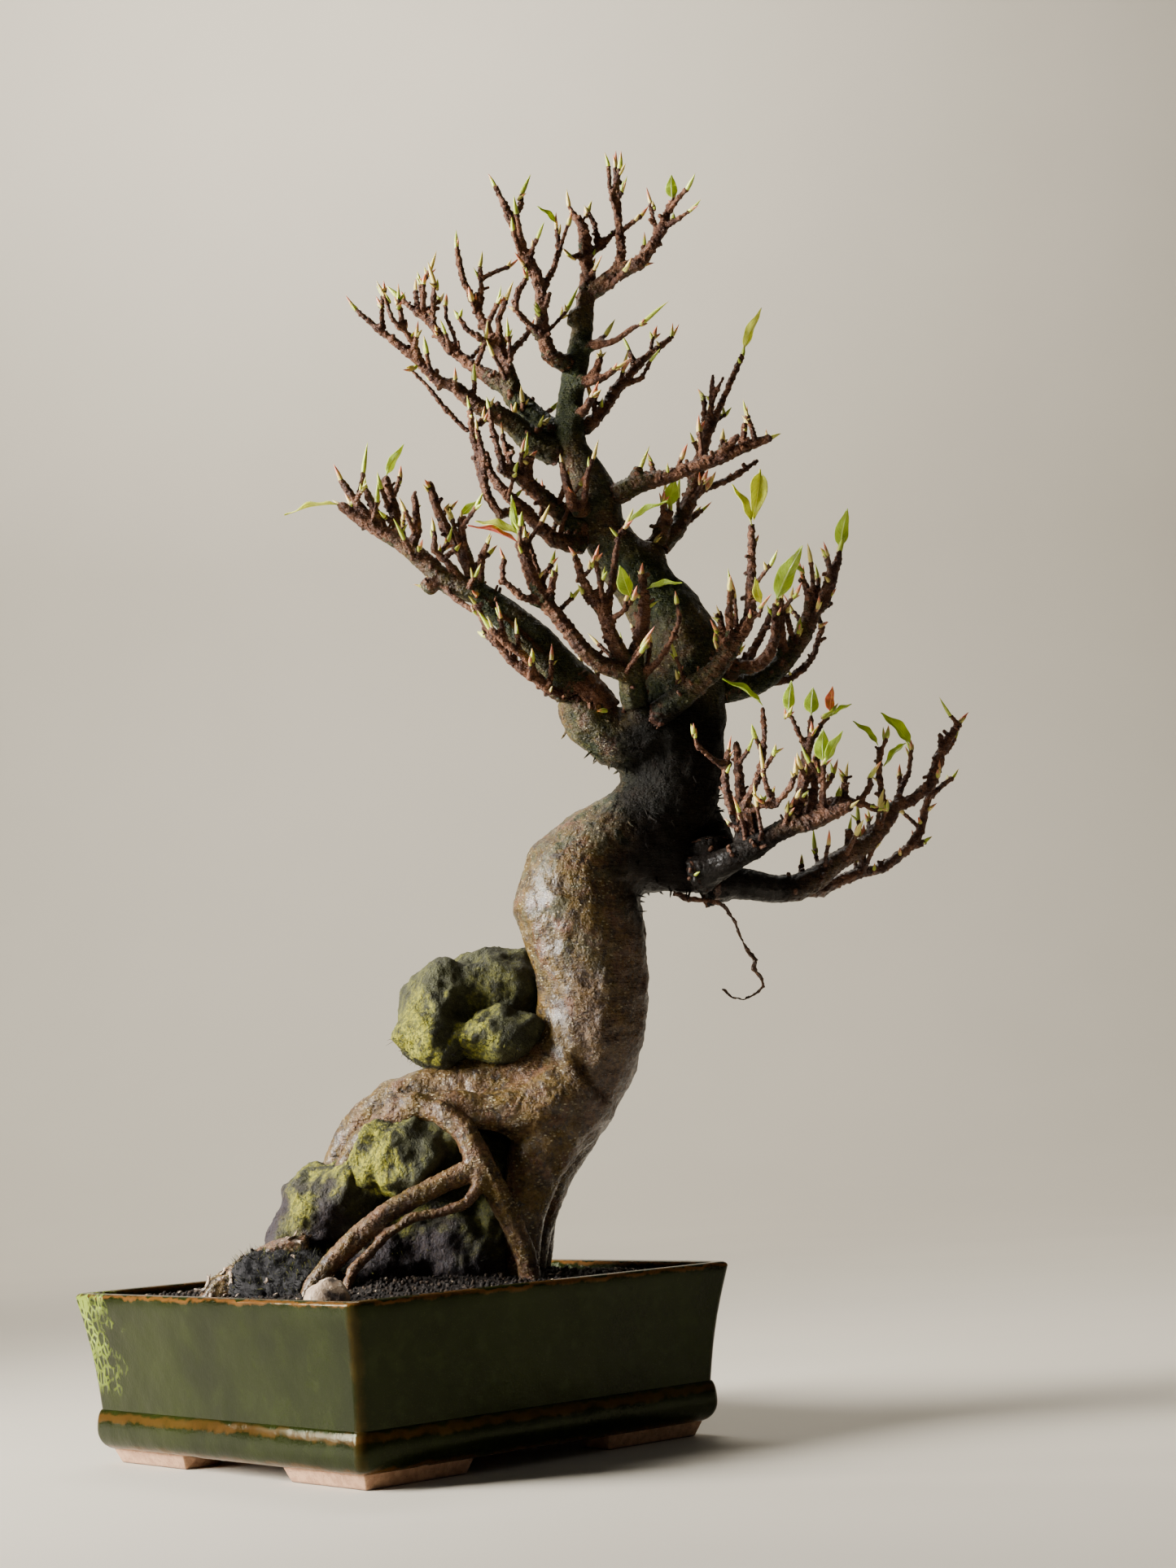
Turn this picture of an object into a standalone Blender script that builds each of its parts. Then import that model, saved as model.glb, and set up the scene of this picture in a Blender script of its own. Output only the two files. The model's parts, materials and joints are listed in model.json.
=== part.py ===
"""Root-over-rock fig bonsai planted in a square glazed pot.

Frame: +Z up, the pot's sides along X and Y, origin under the middle of the whole plant on the surface
that it stands on. The tree's front faces the pot's corner towards -X -Y.
The pot is built from its own sizes. The soil fills it, the stones stand in the soil, and the wood grows
over the stones, so each of them takes its place from the one before and keeps CLEARANCE to it.
"""

import math

import bmesh
import bpy
from mathutils import Matrix, Vector, noise

MM = 0.001

# Pot: a square, flared wall over a rounded base moulding and four corner feet.
POT_SIDE = 0.260
POT_HEIGHT = 0.093
WALL = 0.0075
WALL_HOLLOW = 0.0012
CORNER_RADIUS = 0.006
RIM_ROUND = 0.0022
NECK_HEIGHT = 0.0295
NECK_INSET = 0.0092
MOULDING_HEIGHT = 0.0185
MOULDING_INSET = 0.0070
FOOT_HEIGHT = 0.0080
FOOT_TOP_INSET = 0.0140
FOOT_BASE_INSET = 0.0180
FOOT_WIDTH = 0.0220
FOOT_GAP = 0.0850
FOOT_GAP_SLOPE = 0.0060
FLOOR_THICKNESS = 0.0090

# Drainage: two holes in the floor, each under a plastic screen.
DRAIN_RADIUS = 0.0090
DRAIN_SPACING = 0.0900
SCREEN_SIDE = 0.0340
SCREEN_THICKNESS = 0.0012
SCREEN_BAR = 0.0022
SCREEN_CELLS = 4

# Soil: its level at the wall below the rim, and the mound in the middle.
SOIL_DROP = 0.0065
SOIL_MOUND = 0.0080
SOIL_GRAIN = 0.0012

# Tree: its size, which way its front faces, and its own heights' zero level below the pot's rim.
TREE_SCALE = 1.0
TREE_TURN = math.radians(-42)
GROUND_DROP = 0.0030
EYE = Vector((120, -1500, 91))

CLEARANCE = 0.0003
LOOSE_CLEARANCE = 0.0006
LEAF_THICKNESS = 0.0007
LEAF_CUP = 0.22

# Limb sections: the sides of a limb by its thickness, and the length of a section for its radius.
FAT_SIDES, LIMB_SIDES, TWIG_SIDES = 12, 6, 5
FAT_RADIUS, LIMB_RADIUS = 10, 4.2
SECTION_PER_RADIUS, LEAST_SECTION = 1.1, 16

# Every route below is drawn on the tree's front plane, in millimetres: x to the right, z up from the
# ground, and y the depth away from the front, which slides a point along its line of sight from EYE.
# A point is (x, y, z, radius).
TRUNK = {
    "bole": [
        (68, 22, -28, 9), (71, 20, 5, 9.5), (76, 18, 30, 11.5), (86, 14, 60, 15.5), (99, 9, 88, 21),
        (109, 4, 110, 27), (113, 1, 132, 29.5), (116, 0, 158, 31), (113, 0, 182, 33.5),
        (108, 1, 201, 36), (112, 3, 219, 34), (126, 5, 231, 30), (146, 7, 241, 28), (162, 8, 258, 29),
        (166, 8, 280, 29.5), (168, 7, 302, 28.5), (172, 6, 325, 27), (174, 6, 346, 25.5),
        (167, 6, 366, 21), (154, 4, 386, 17), (142, 2, 402, 14.5), (133, 1, 418, 13.5),
        (132, 0, 434, 14), (126, 0, 450, 11), (118, 0, 464, 10), (118, 0, 478, 8.3),
        (120, 0, 494, 6.9), (123, 0, 508, 6.9), (127, 0, 524, 6.4), (130, 0, 540, 5.4),
        (132, 0, 555, 4.8),
    ],
    "saddle": [
        (112, 2, 122, 26), (92, 0, 110, 25), (70, -2, 104, 21), (48, -3, 105, 18), (26, -3, 103, 15),
        (4, -2, 99, 13.5), (-14, 1, 89, 12.5), (-26, 5, 75, 10), (-35, 9, 58, 8), (-42, 14, 38, 7),
        (-46, 18, 14, 6), (-48, 22, -16, 5),
    ],
    "saddle_front": [
        (104, -14, 104, 20), (84, -20, 94, 18), (64, -25, 89, 13), (46, -28, 92, 9.5), (28, -28, 95, 8.5),
        (10, -27, 94, 7.5), (-6, -24, 87, 7.5), (-18, -20, 77, 7), (-27, -15, 64, 6), (-32, -10, 48, 5),
    ],
    "saddle_back": [
        (96, 22, 104, 20), (74, 28, 92, 15), (50, 32, 84, 12), (26, 36, 74, 10.5), (4, 40, 58, 9),
        (-12, 44, 36, 8), (-22, 47, 10, 7), (-28, 50, -18, 5),
    ],
    "buttress": [
        (104, -4, 100, 24), (88, -12, 78, 20), (76, -18, 58, 16), (70, -20, 36, 12), (68, -18, 8, 9),
        (68, -16, -26, 7),
    ],
    "heel": [(88, 22, 72, 14), (80, 32, 44, 11), (76, 40, 12, 9), (74, 46, -24, 6)],
    "arch_root": [
        (-2, -24, 99, 5.5), (14, -30, 98, 5.8), (28, -36, 92, 6.2), (40, -40, 80, 7), (47, -42, 64, 8),
        (54, -42, 50, 7), (62, -40, 32, 6.2), (69, -38, 14, 6), (73, -36, -6, 6), (75, -34, -26, 4.5),
    ],
    "long_root": [
        (45, -42, 60, 7), (28, -46, 54, 5.6), (10, -49, 46, 5.6), (-6, -52, 38, 5.8),
        (-22, -56, 26, 6), (-37, -60, 13, 5.6), (-48, -63, 1, 5), (-58, -66, -18, 4),
    ],
    "thin_root": [
        (47, -44, 62, 5), (46, -47, 50, 4), (38, -50, 41, 3.4), (24, -53, 37, 3.2), (8, -56, 35, 3.2),
        (-6, -58, 27, 3), (-16, -62, 17, 3.2), (-26, -66, 8, 3.4), (-34, -68, -14, 3),
    ],
    "burl_back": [(150, 20, 250, 26), (172, 22, 240, 24), (190, 14, 226, 14)],
    "burl_under": [(150, 4, 232, 24), (168, 4, 222, 17), (184, 3, 214, 10)],
    "shoulder_left": [(152, -2, 296, 24), (134, -8, 296, 17), (122, -10, 306, 16), (116, -10, 320, 15)],
    "shoulder_front": [(160, -10, 300, 20), (152, -18, 304, 12), (148, -24, 312, 8)],
    "crest": [(170, 4, 340, 25), (182, 2, 348, 18), (188, 0, 352, 12)],
    "fork_stump": [(152, 4, 384, 15), (160, 6, 392, 11), (162, 8, 402, 9)],
    "front_knob": [
        (126, -10, 430, 6), (121, -18, 428, 4.4), (118, -24, 432, 3.6), (115, -27, 444, 3),
        (113, -28, 456, 2.4),
    ],
    "front_knob_right": [
        (121, -18, 428, 3.6), (125, -26, 436, 2.9), (127, -29, 449, 2.4), (131, -30, 458, 2),
    ],
    "twig_mid": [
        (128, -2, 523, 5), (135, -6, 524, 3.2), (143, -9, 525, 2.7), (149, -11, 527, 2.5),
        (156, -13, 532, 2.3), (164, -15, 536, 1.9),
    ],
    "twig_mid_stub": [(136, -6, 525, 2.4), (142, -3, 530, 2)],
    "stub_right": [(122, -4, 503, 5), (130, -9, 503, 3.4), (140, -12, 505, 2.9), (146, -13, 509, 2.7)],
    "stub_right_thumb": [(131, -9, 504, 3), (136, -7, 510, 3), (138, -7, 516, 3)],
    "stub_low": [(121, -4, 484, 4.6), (128, -10, 486, 3.2), (132, -12, 493, 2.8)],
    "lichen_knot": [(126, -2, 536, 6.4), (127, -3, 543, 6.2)],
}

# A branch is its own node; its first limb leaves the bole and the others leave it or each other.
BRANCHES = {
    "branch_left": {
        "limb": [
            (126, -10, 308, 15), (118, -12, 320, 14.5), (106, -14, 337, 11), (93, -17, 355, 9.3),
            (78, -20, 370, 7.5), (63, -22, 382, 6.2), (51, -23, 388, 5.5), (40, -24, 395, 5),
            (29, -25, 406, 4.5), (19, -26, 415, 4), (8, -27, 422, 3.5), (-2, -28, 429, 3),
            (-14, -30, 438, 2.4),
        ],
        "second": [
            (110, -20, 324, 6.5), (98, -24, 340, 5), (85, -27, 354, 4.2), (72, -27, 368, 3.8),
            (61, -25, 381, 3.4),
        ],
        "knob": [(40, -24, 394, 4.5), (33, -24, 388, 4.4)],
        "shoot_a": [(1, -28, 430, 2.6), (-6, -31, 441, 2.5), (-13, -33, 452, 2.2)],
        "shoot_b": [(9, -27, 424, 2.6), (4, -30, 437, 2.3), (0, -31, 447, 2)],
        "shoot_c": [(19, -26, 416, 3.6), (16, -22, 433, 3.2), (12, -20, 452, 2.8)],
        "shoot_d": [(24, -26, 411, 3.2), (29, -30, 421, 2.6), (28, -32, 441, 2.1)],
        "shoot_e": [
            (62, -22, 383, 4), (55, -17, 403, 3.4), (47, -14, 417, 3), (41, -12, 432, 2.8),
            (37, -11, 448, 2.5),
        ],
        "shoot_f": [(58, -18, 398, 2.8), (54, -22, 416, 2.4), (54, -24, 427, 2.1)],
        "shoot_g": [(53, -23, 390, 2.6), (45, -30, 402, 2.2), (38, -33, 409, 2.1), (38, -34, 420, 1.8)],
        "shoot_h": [(62, -22, 386, 2.6), (65, -28, 405, 2.1), (68, -31, 411, 1.8)],
        "hanging": [(38, -24, 392, 2), (49, -30, 380, 1.8), (59, -33, 373, 1.6)],
        "under": [
            (112, -18, 322, 4), (105, -25, 321, 3.2), (91, -32, 333, 2.8), (78, -36, 344, 2.6),
            (71, -38, 354, 2.5), (65, -40, 365, 2.3), (60, -41, 377, 1.9),
        ],
        "under_spur": [(91, -32, 334, 2.8), (86, -38, 346, 2.6), (76, -42, 354, 2.3), (68, -44, 362, 1.9)],
    },
    "branch_front": {
        "limb": [(148, -22, 312, 8), (146, -32, 323, 7.4), (146, -38, 334, 6.6), (147, -40, 342, 6)],
        "long": [
            (146, -38, 332, 6), (140, -42, 334, 5.2), (128, -46, 339, 4.7), (119, -50, 348, 4.4),
            (111, -53, 360, 4.2), (104, -55, 370, 4.1), (98, -56, 378, 4), (93, -57, 388, 3.9),
            (90, -58, 400, 3.7), (87, -58, 410, 3.2),
        ],
        "long_side": [(99, -56, 375, 3), (86, -60, 380, 2.8), (76, -62, 390, 2.4), (77, -63, 402, 2)],
        "long_spur": [(101, -55, 375, 2.8), (104, -60, 387, 2.6), (106, -62, 392, 2.3)],
        "dark": [(100, -54, 376, 3), (95, -48, 396, 2.8), (92, -46, 408, 2.5), (88, -45, 424, 2.1)],
        "centre": [
            (145, -39, 338, 5), (139, -44, 346, 4.6), (135, -47, 357, 4), (132, -49, 368, 3.4),
            (125, -51, 379, 3), (121, -52, 388, 2.7), (118, -53, 401, 2.4),
        ],
        "centre_right": [
            (133, -49, 366, 3), (137, -46, 381, 2.7), (139, -44, 392, 2.4), (141, -43, 402, 2.3),
            (143, -42, 412, 2.1), (148, -42, 418, 1.9),
        ],
        "centre_up": [(133, -49, 368, 2.4), (131, -54, 388, 2.2), (129, -56, 398, 1.9)],
        "right_spur": [(134, -48, 362, 2.4), (143, -53, 368, 2.1), (149, -55, 375, 1.9)],
        "upright": [
            (147, -40, 338, 4.6), (153, -40, 354, 4), (155, -40, 367, 3.7), (156, -40, 378, 3.2),
            (155, -41, 388, 2.5),
        ],
        "red_twig": [
            (149, -36, 330, 2.8), (162, -44, 339, 2.3), (169, -48, 349, 2.1), (175, -50, 361, 1.9),
            (174, -50, 372, 1.5),
        ],
    },
    "branch_right_front": {
        "limb": [
            (150, -18, 302, 9), (160, -25, 308, 7.8), (173, -30, 317, 7), (185, -34, 326, 5.9),
            (194, -37, 332, 5.1), (201, -39, 341, 5), (205, -40, 348, 4.6), (211, -42, 354, 3.9),
            (215, -43, 362, 3.6), (216, -44, 373, 3.5), (217, -44, 384, 3), (218, -44, 396, 2.7),
            (219, -44, 413, 2.5),
        ],
        "side": [(200, -39, 342, 3.4), (203, -44, 351, 2.8), (203, -46, 362, 2.6), (205, -47, 376, 2.3)],
        "cut_stub": [(200, -38, 344, 3), (198, -34, 361, 2.5)],
        "spur": [(215, -43, 363, 2.2), (220, -48, 362, 1.9), (222, -49, 367, 1.7)],
    },
    "branch_right": {
        "limb": [
            (176, 6, 314, 12), (190, 9, 320, 8.5), (202, 12, 321, 7.6), (215, 15, 323, 7),
            (223, 17, 327, 6.4), (231, 19, 333, 5.5), (238, 21, 341, 5.1), (244, 22, 349, 5),
            (248, 23, 357, 4.9), (251, 23, 363, 4.4), (257, 24, 368, 3.8), (261, 24, 377, 3.6),
            (264, 24, 386, 3.3), (267, 24, 391, 2.4), (268, 24, 396, 2),
        ],
        "stub_left": [(248, 23, 356, 3.6), (249, 18, 371, 3), (246, 16, 383, 2.2)],
        "stub_up": [(251, 23, 362, 3.2), (252, 27, 376, 2.8)],
        "low": [
            (217, 15, 324, 3.4), (233, 26, 324, 3), (242, 30, 329, 2.8), (249, 32, 336, 2.6),
            (252, 33, 344, 2.3), (256, 34, 354, 1.9),
        ],
        "inner": [
            (196, 8, 324, 6), (206, 0, 334, 4.4), (213, -4, 332, 4), (219, -6, 334, 4),
            (224, -8, 339, 3.6), (228, -9, 347, 3.2), (229, -10, 356, 2.7), (230, -10, 367, 2.4),
        ],
        "inner_left": [(210, -2, 334, 3.4), (218, 2, 346, 2.8), (223, 4, 355, 2.5), (228, 4, 365, 2.1)],
        "inner_up": [(232, 18, 336, 3.4), (232, 10, 354, 3), (233, 8, 370, 2.5)],
        "inner_right": [(239, 20, 343, 3), (237, 14, 354, 2.2), (236, 12, 363, 1.9)],
    },
    "branch_low_right_front": {
        "limb": [
            (176, -8, 216, 12), (188, -14, 220, 8), (200, -20, 226, 6.8), (211, -25, 231, 6.1),
            (221, -29, 237, 5.2), (232, -33, 241, 4.7), (244, -36, 243, 4.3), (254, -38, 247, 3.8),
            (264, -40, 250, 3),
        ],
        "upper": [
            (220, -29, 238, 4.2), (237, -26, 246, 3.6), (248, -24, 252, 3.4), (259, -23, 254, 3),
            (270, -22, 252, 2.6), (279, -22, 248, 2.3),
        ],
        "upper_tip": [(269, -22, 252, 2.4), (276, -26, 260, 2.3), (277, -27, 266, 2)],
        "upper_stub": [(261, -23, 254, 2.8), (263, -20, 267, 2.4)],
        "shoot_a": [
            (231, -33, 242, 4), (237, -35, 257, 3.6), (240, -36, 269, 3.4), (242, -37, 282, 3.2),
            (244, -38, 289, 2.8),
        ],
        "shoot_a1": [(242, -37, 285, 2.3), (237, -41, 297, 1.9), (234, -43, 304, 1.7)],
        "shoot_a2": [(244, -38, 287, 2.2), (246, -38, 302, 1.7)],
        "shoot_a3": [(244, -38, 288, 2.2), (252, -34, 298, 1.9), (256, -32, 303, 1.6)],
        "shoot_b": [
            (210, -25, 234, 3.6), (208, -30, 250, 2.4), (214, -36, 253, 2.2), (223, -40, 254, 2.2),
            (231, -43, 262, 2.2), (235, -44, 270, 1.9),
        ],
        "shoot_b_stub": [(220, -39, 252, 2.4), (221, -38, 261, 2.1)],
        "shoot_c": [(242, -35, 245, 3.2), (246, -30, 266, 2.8), (248, -28, 281, 2.3)],
        "shoot_d": [(249, -37, 247, 2.8), (250, -42, 262, 2.3), (251, -44, 274, 2)],
        "tall": [
            (205, -22, 232, 4), (205, -28, 254, 3), (213, -32, 267, 2.7), (217, -34, 279, 2.5),
            (219, -35, 292, 2.3), (219, -35, 308, 2),
        ],
        "left_up": [(203, -20, 230, 4.6), (203, -18, 248, 4), (204, -16, 259, 3.4), (203, -15, 274, 3),
                    (203, -15, 289, 2.4)],
        "left_out": [(203, -19, 240, 3.6), (197, -24, 256, 3), (195, -27, 269, 2.8), (198, -28, 285, 2.2)],
        "left_red": [(196, -26, 276, 2.3), (188, -33, 282, 2.1), (181, -37, 289, 1.9), (179, -38, 296, 1.5)],
    },
    "branch_low_right": {
        "limb": [
            (182, 6, 211, 13), (196, 10, 211, 9.2), (207, 13, 209, 8.5), (219, 16, 206, 7.7),
            (232, 19, 206, 7.4), (243, 22, 211, 6.5), (254, 25, 219, 5.6), (263, 27, 224, 5.1),
            (273, 29, 229, 5), (280, 30, 236, 4.6), (287, 31, 244, 4), (290, 31, 249, 3.6),
            (300, 32, 252, 3.2), (310, 33, 260, 3.2), (314, 33, 268, 3.3), (317, 33, 277, 3.1),
            (322, 33, 285, 2.8), (329, 33, 294, 2.2),
        ],
        "lower": [
            (228, 18, 206, 5), (245, 30, 204, 4), (256, 34, 209, 3.6), (269, 37, 213, 3.4),
            (280, 39, 214, 3.2), (289, 40, 220, 3.1), (297, 41, 226, 3), (303, 41, 234, 3),
            (306, 41, 245, 2.7), (311, 40, 258, 2.2),
        ],
        "lower_stub": [(297, 41, 226, 2.6), (305, 44, 228, 2)],
        "knob": [(264, 27, 226, 4), (263, 24, 236, 3)],
        "shoot_a": [(286, 31, 243, 3.4), (283, 26, 254, 2.7), (282, 24, 267, 2.4), (283, 23, 282, 2)],
        "shoot_a1": [(282, 24, 275, 2), (288, 20, 289, 1.6)],
        "shoot_b": [(290, 31, 248, 2.8), (294, 36, 259, 2.4), (299, 38, 268, 2.1), (301, 39, 281, 1.8)],
        "tip_left": [(318, 33, 278, 2.4), (318, 28, 288, 1.8)],
    },
    "branch_right_fork": {
        "limb": [
            (158, 6, 396, 10), (164, 9, 404, 8), (170, 12, 409, 6.2), (177, 14, 415, 5),
            (183, 16, 427, 4.3), (188, 18, 438, 4), (191, 19, 450, 3.9), (195, 20, 464, 3.5),
            (199, 21, 474, 3.1), (205, 22, 484, 2.4), (210, 22, 494, 2.3), (215, 22, 504, 2.2),
            (220, 22, 514, 2),
        ],
        "grey_stub": [(163, 8, 400, 6), (169, 2, 417, 4.2), (172, 0, 424, 3.4)],
        "twin_left": [(195, 20, 466, 2.8), (196, 26, 479, 2.4), (196, 28, 489, 2)],
        "twin_right": [(197, 21, 470, 2.6), (200, 16, 483, 2.2), (202, 14, 502, 1.8)],
        "twin_spur": [(200, 16, 486, 1.9), (205, 12, 496, 1.7), (208, 11, 501, 1.4)],
        "out": [
            (188, 18, 436, 3.2), (199, 24, 438, 2.6), (211, 28, 443, 2.5), (224, 31, 451, 2.1),
        ],
        "short": [(179, 15, 417, 2.8), (185, 21, 420, 2.4), (191, 24, 424, 2)],
    },
    "branch_right_upper": {
        "limb": [
            (136, -2, 436, 8), (146, -8, 437, 6.2), (156, -12, 442, 5.6), (168, -15, 444, 4.3),
            (177, -17, 446, 3.9), (188, -20, 450, 3.7), (199, -22, 453, 4), (210, -24, 457, 3.6),
            (221, -26, 461, 3.2), (232, -28, 464, 2.7),
        ],
        "wart": [(155, -12, 444, 5), (156, -13, 450, 3)],
        "over": [(202, -22, 455, 3), (208, -28, 461, 2.5), (214, -31, 466, 2.2)],
        "stub": [(216, -25, 459, 2.8), (219, -23, 473, 2.3)],
    },
    "branch_inner_left": {
        "limb": [
            (128, -2, 414, 9), (113, -10, 425, 5.6), (103, -15, 435, 4.8), (96, -18, 442, 4.4),
            (88, -21, 450, 3.8), (78, -23, 455, 3.3),
        ],
        "top_knob": [(92, -20, 446, 4), (93, -20, 459, 4)],
        "under": [
            (122, -6, 408, 6), (107, -16, 411, 4.2), (98, -20, 420, 4), (91, -24, 429, 3.8),
            (82, -27, 438, 3.4), (75, -28, 447, 3), (71, -29, 455, 2.6), (70, -30, 464, 2.3),
        ],
        "tall_a": [
            (90, -23, 431, 3.4), (76, -34, 428, 3.2), (70, -37, 439, 3), (67, -38, 450, 2.8),
            (65, -38, 464, 2.6), (63, -38, 474, 2.5), (62, -38, 490, 2.2),
        ],
        "tall_b": [(68, -37, 446, 2.6), (68, -42, 462, 2.3), (66, -43, 477, 2)],
        "tall_c": [(80, -23, 454, 2.8), (77, -27, 466, 2.5), (74, -28, 480, 2.3), (73, -28, 491, 1.9)],
        "tall_d": [(86, -22, 451, 2.8), (82, -18, 463, 2.5), (80, -17, 474, 2.2)],
    },
    "crown_low_left": {
        "limb": [
            (112, -2, 461, 8), (97, -6, 469, 7.6), (88, -9, 479, 6.3), (79, -12, 486, 5.4),
            (67, -15, 492, 4.5), (58, -17, 500, 4), (52, -18, 506, 3.7), (46, -19, 507, 3.4),
            (39, -20, 514, 3.2), (34, -21, 521, 3.1), (27, -22, 527, 3), (17, -23, 536, 2.7),
            (10, -24, 542, 2.4), (4, -25, 548, 2), (-1, -26, 553, 1.6),
        ],
        "fork": [(34, -21, 521, 2.8), (32, -26, 531, 2.5), (26, -30, 540, 2.3), (24, -31, 557, 1.9)],
        "fork_left": [(27, -29, 538, 2), (20, -34, 546, 1.9), (16, -36, 560, 1.6)],
        "spur": [(14, -23, 540, 2.1), (14, -19, 554, 1.8)],
        "red": [(76, -13, 487, 3), (60, -22, 478, 2.2), (49, -26, 490, 2), (41, -28, 502, 1.8),
                (30, -30, 515, 1.5)],
    },
    "crown_left": {
        "limb": [
            (115, 2, 470, 9), (104, 6, 477, 8), (94, 10, 488, 6.9), (87, 12, 497, 6), (86, 13, 506, 5),
            (83, 14, 517, 4.2), (81, 15, 524, 3.9), (76, 16, 533, 3.1), (71, 17, 544, 2.8),
            (67, 18, 555, 2.6), (62, 18, 566, 2.4), (60, 18, 577, 2.2), (59, 18, 586, 1.9),
        ],
        "side_up": [(70, 17, 549, 2.4), (72, 22, 564, 2.2), (72, 23, 574, 1.9)],
        "side_low": [(79, 15, 527, 2.8), (69, 8, 532, 2.4), (62, 5, 538, 2.2), (58, 4, 545, 1.9)],
        "centre": [(81, 15, 526, 2.8), (81, 10, 543, 2.4), (86, 7, 554, 2)],
        "right": [(84, 14, 520, 2.8), (95, 20, 530, 2.4), (99, 22, 536, 2)],
        "spike": [(85, 14, 512, 2.6), (87, 6, 520, 2.1), (86, 4, 532, 1.8)],
        "long": [
            (88, 12, 500, 6), (75, 16, 508, 4.8), (68, 18, 513, 3.7), (61, 20, 519, 3.4),
            (53, 22, 526, 3.2), (47, 23, 534, 3), (42, 24, 543, 2.8), (37, 25, 547, 2.5),
            (30, 26, 553, 2), (24, 27, 559, 1.6),
        ],
        "long_a": [(38, 25, 546, 2.5), (38, 29, 558, 2.2), (37, 30, 566, 1.9)],
        "long_b": [(43, 24, 541, 2.5), (44, 19, 555, 2.2), (45, 18, 566, 1.9)],
        "dry": [(57, 21, 522, 2), (55, 25, 535, 1.7), (51, 26, 545, 1.6), (51, 26, 553, 1.4)],
    },
    "crown_centre": {
        "limb": [
            (122, -2, 513, 6), (116, -6, 515, 5.2), (109, -9, 520, 4.5), (106, -11, 531, 3.9),
            (106, -12, 545, 3.6), (106, -13, 557, 3.6), (104, -13, 568, 3.5), (98, -14, 580, 3.2),
            (94, -14, 594, 3), (91, -14, 602, 2.9), (87, -14, 612, 2.4), (83, -14, 621, 1.9),
        ],
        "tip_right": [(92, -14, 600, 2.5), (97, -10, 609, 2.3), (98, -9, 616, 2)],
        "right": [
            (106, -12, 558, 2.7), (114, -6, 570, 2.4), (118, -3, 582, 2.3), (117, -2, 594, 2),
        ],
        "stub": [(100, -14, 578, 2.2), (106, -20, 590, 1.6)],
        "low_spur": [(106, -12, 545, 2.6), (111, -17, 556, 2)],
        "left": [
            (106, -11, 530, 3), (96, -17, 541, 2.5), (91, -20, 548, 2.4), (93, -22, 558, 2.3),
            (98, -23, 566, 1.9),
        ],
    },
    "crown_top": {
        "limb": [
            (131, 0, 551, 5.4), (133, 1, 560, 4.7), (134, 2, 567, 4.2), (133, 4, 577, 3.8),
            (133, 5, 588, 3.8), (132, 6, 595, 3.4), (127, 7, 603, 2.1), (125, 7, 608, 1.6),
        ],
        "stub": [(133, 4, 578, 2.6), (125, 0, 577, 2)],
        "right": [(134, 5, 578, 3.2), (142, 9, 583, 2.8), (151, 12, 591, 2.2)],
        "right_up": [(141, 8, 582, 2.4), (139, 12, 596, 2.2), (136, 13, 603, 1.9)],
        "right_out": [
            (132, 0, 553, 5), (144, -5, 561, 4.6), (152, -8, 568, 4.4), (163, -11, 571, 4),
            (171, -13, 580, 3.4), (177, -14, 589, 3), (181, -15, 599, 2.7), (185, -15, 607, 2.2),
        ],
        "leader": [
            (152, -8, 569, 3.6), (154, -4, 581, 3), (153, -2, 595, 2.8), (153, -1, 608, 2.6),
            (153, 0, 619, 2.4), (153, 0, 629, 2),
        ],
        "leader_twin": [(153, -2, 598, 2.4), (149, -6, 617, 2), (149, -7, 630, 1.7)],
        "out_tip": [(178, -14, 591, 2.2), (187, -19, 596, 1.9), (195, -22, 601, 1.4)],
        "out_up": [(175, -14, 587, 2.2), (173, -9, 598, 1.8), (172, -8, 607, 1.6)],
    },
    "crown_right_low": {
        "limb": [
            (121, 2, 474, 6), (133, 6, 480, 3.8), (140, 9, 488, 3.5), (146, 12, 497, 3.6),
            (153, 14, 504, 3.2), (161, 16, 513, 2.8), (170, 18, 519, 2.4), (180, 20, 527, 1.9),
        ],
        "under": [(149, 12, 500, 2.6), (161, 8, 503, 2.1), (167, 6, 513, 1.7)],
        "stub": [(158, 15, 510, 2.4), (155, 19, 520, 1.8)],
    },
    "aerial_root": {
        "limb": [
            (164, 2, 208, 3.4), (171, 0, 203, 2.4), (180, -2, 202, 2), (190, -3, 199, 1.9),
            (196, -3, 189, 1.5), (200, -3, 177, 1.4), (203, -3, 171, 2), (206, -3, 167, 2.2),
            (205, -3, 162, 2), (209, -2, 157, 1.6), (210, 0, 152, 1.5), (205, 2, 148, 1.4),
            (198, 4, 145, 1.2), (192, 5, 147, 1), (187, 6, 152, 0.8),
        ],
    },
}

# Pieces of wood that lie on the soil at the foot of the stones.
SURFACE_ROOT = [
    (-50, -34, 24, 5), (-66, -34, 20, 7), (-84, -34, 11, 7.6), (-100, -34, 2, 7), (-112, -34, -12, 5),
]

# Stones: each is a group of lumps, (x, y, z) and the half sizes, in the tree's own frame.
STONES = {
    "stone_base": [
        ((28, 4, 20), (52, 44, 42)), ((-10, -2, 12), (44, 40, 34)), ((54, 0, 34), (24, 34, 36)),
        ((40, 10, 60), (40, 30, 30)),
    ],
    "stone_left": [
        ((-34, -8, 42), (33, 32, 27)), ((-50, -4, 26), (23, 28, 30)), ((-22, -16, 54), (20, 20, 18)),
    ],
    "stone_middle": [
        ((8, -24, 70), (31, 26, 25)), ((24, -18, 76), (24, 22, 20)), ((-12, -18, 64), (16, 20, 20)),
    ],
    "stone_upper": [
        ((30, 10, 146), (29, 28, 32)), ((58, 18, 156), (40, 30, 29)), ((62, -12, 132), (27, 20, 17)),
        ((26, -6, 134), (24, 22, 20)),
    ],
}
STONE_ROUGHNESS = 0.22
STONE_FACETS = 9
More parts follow.
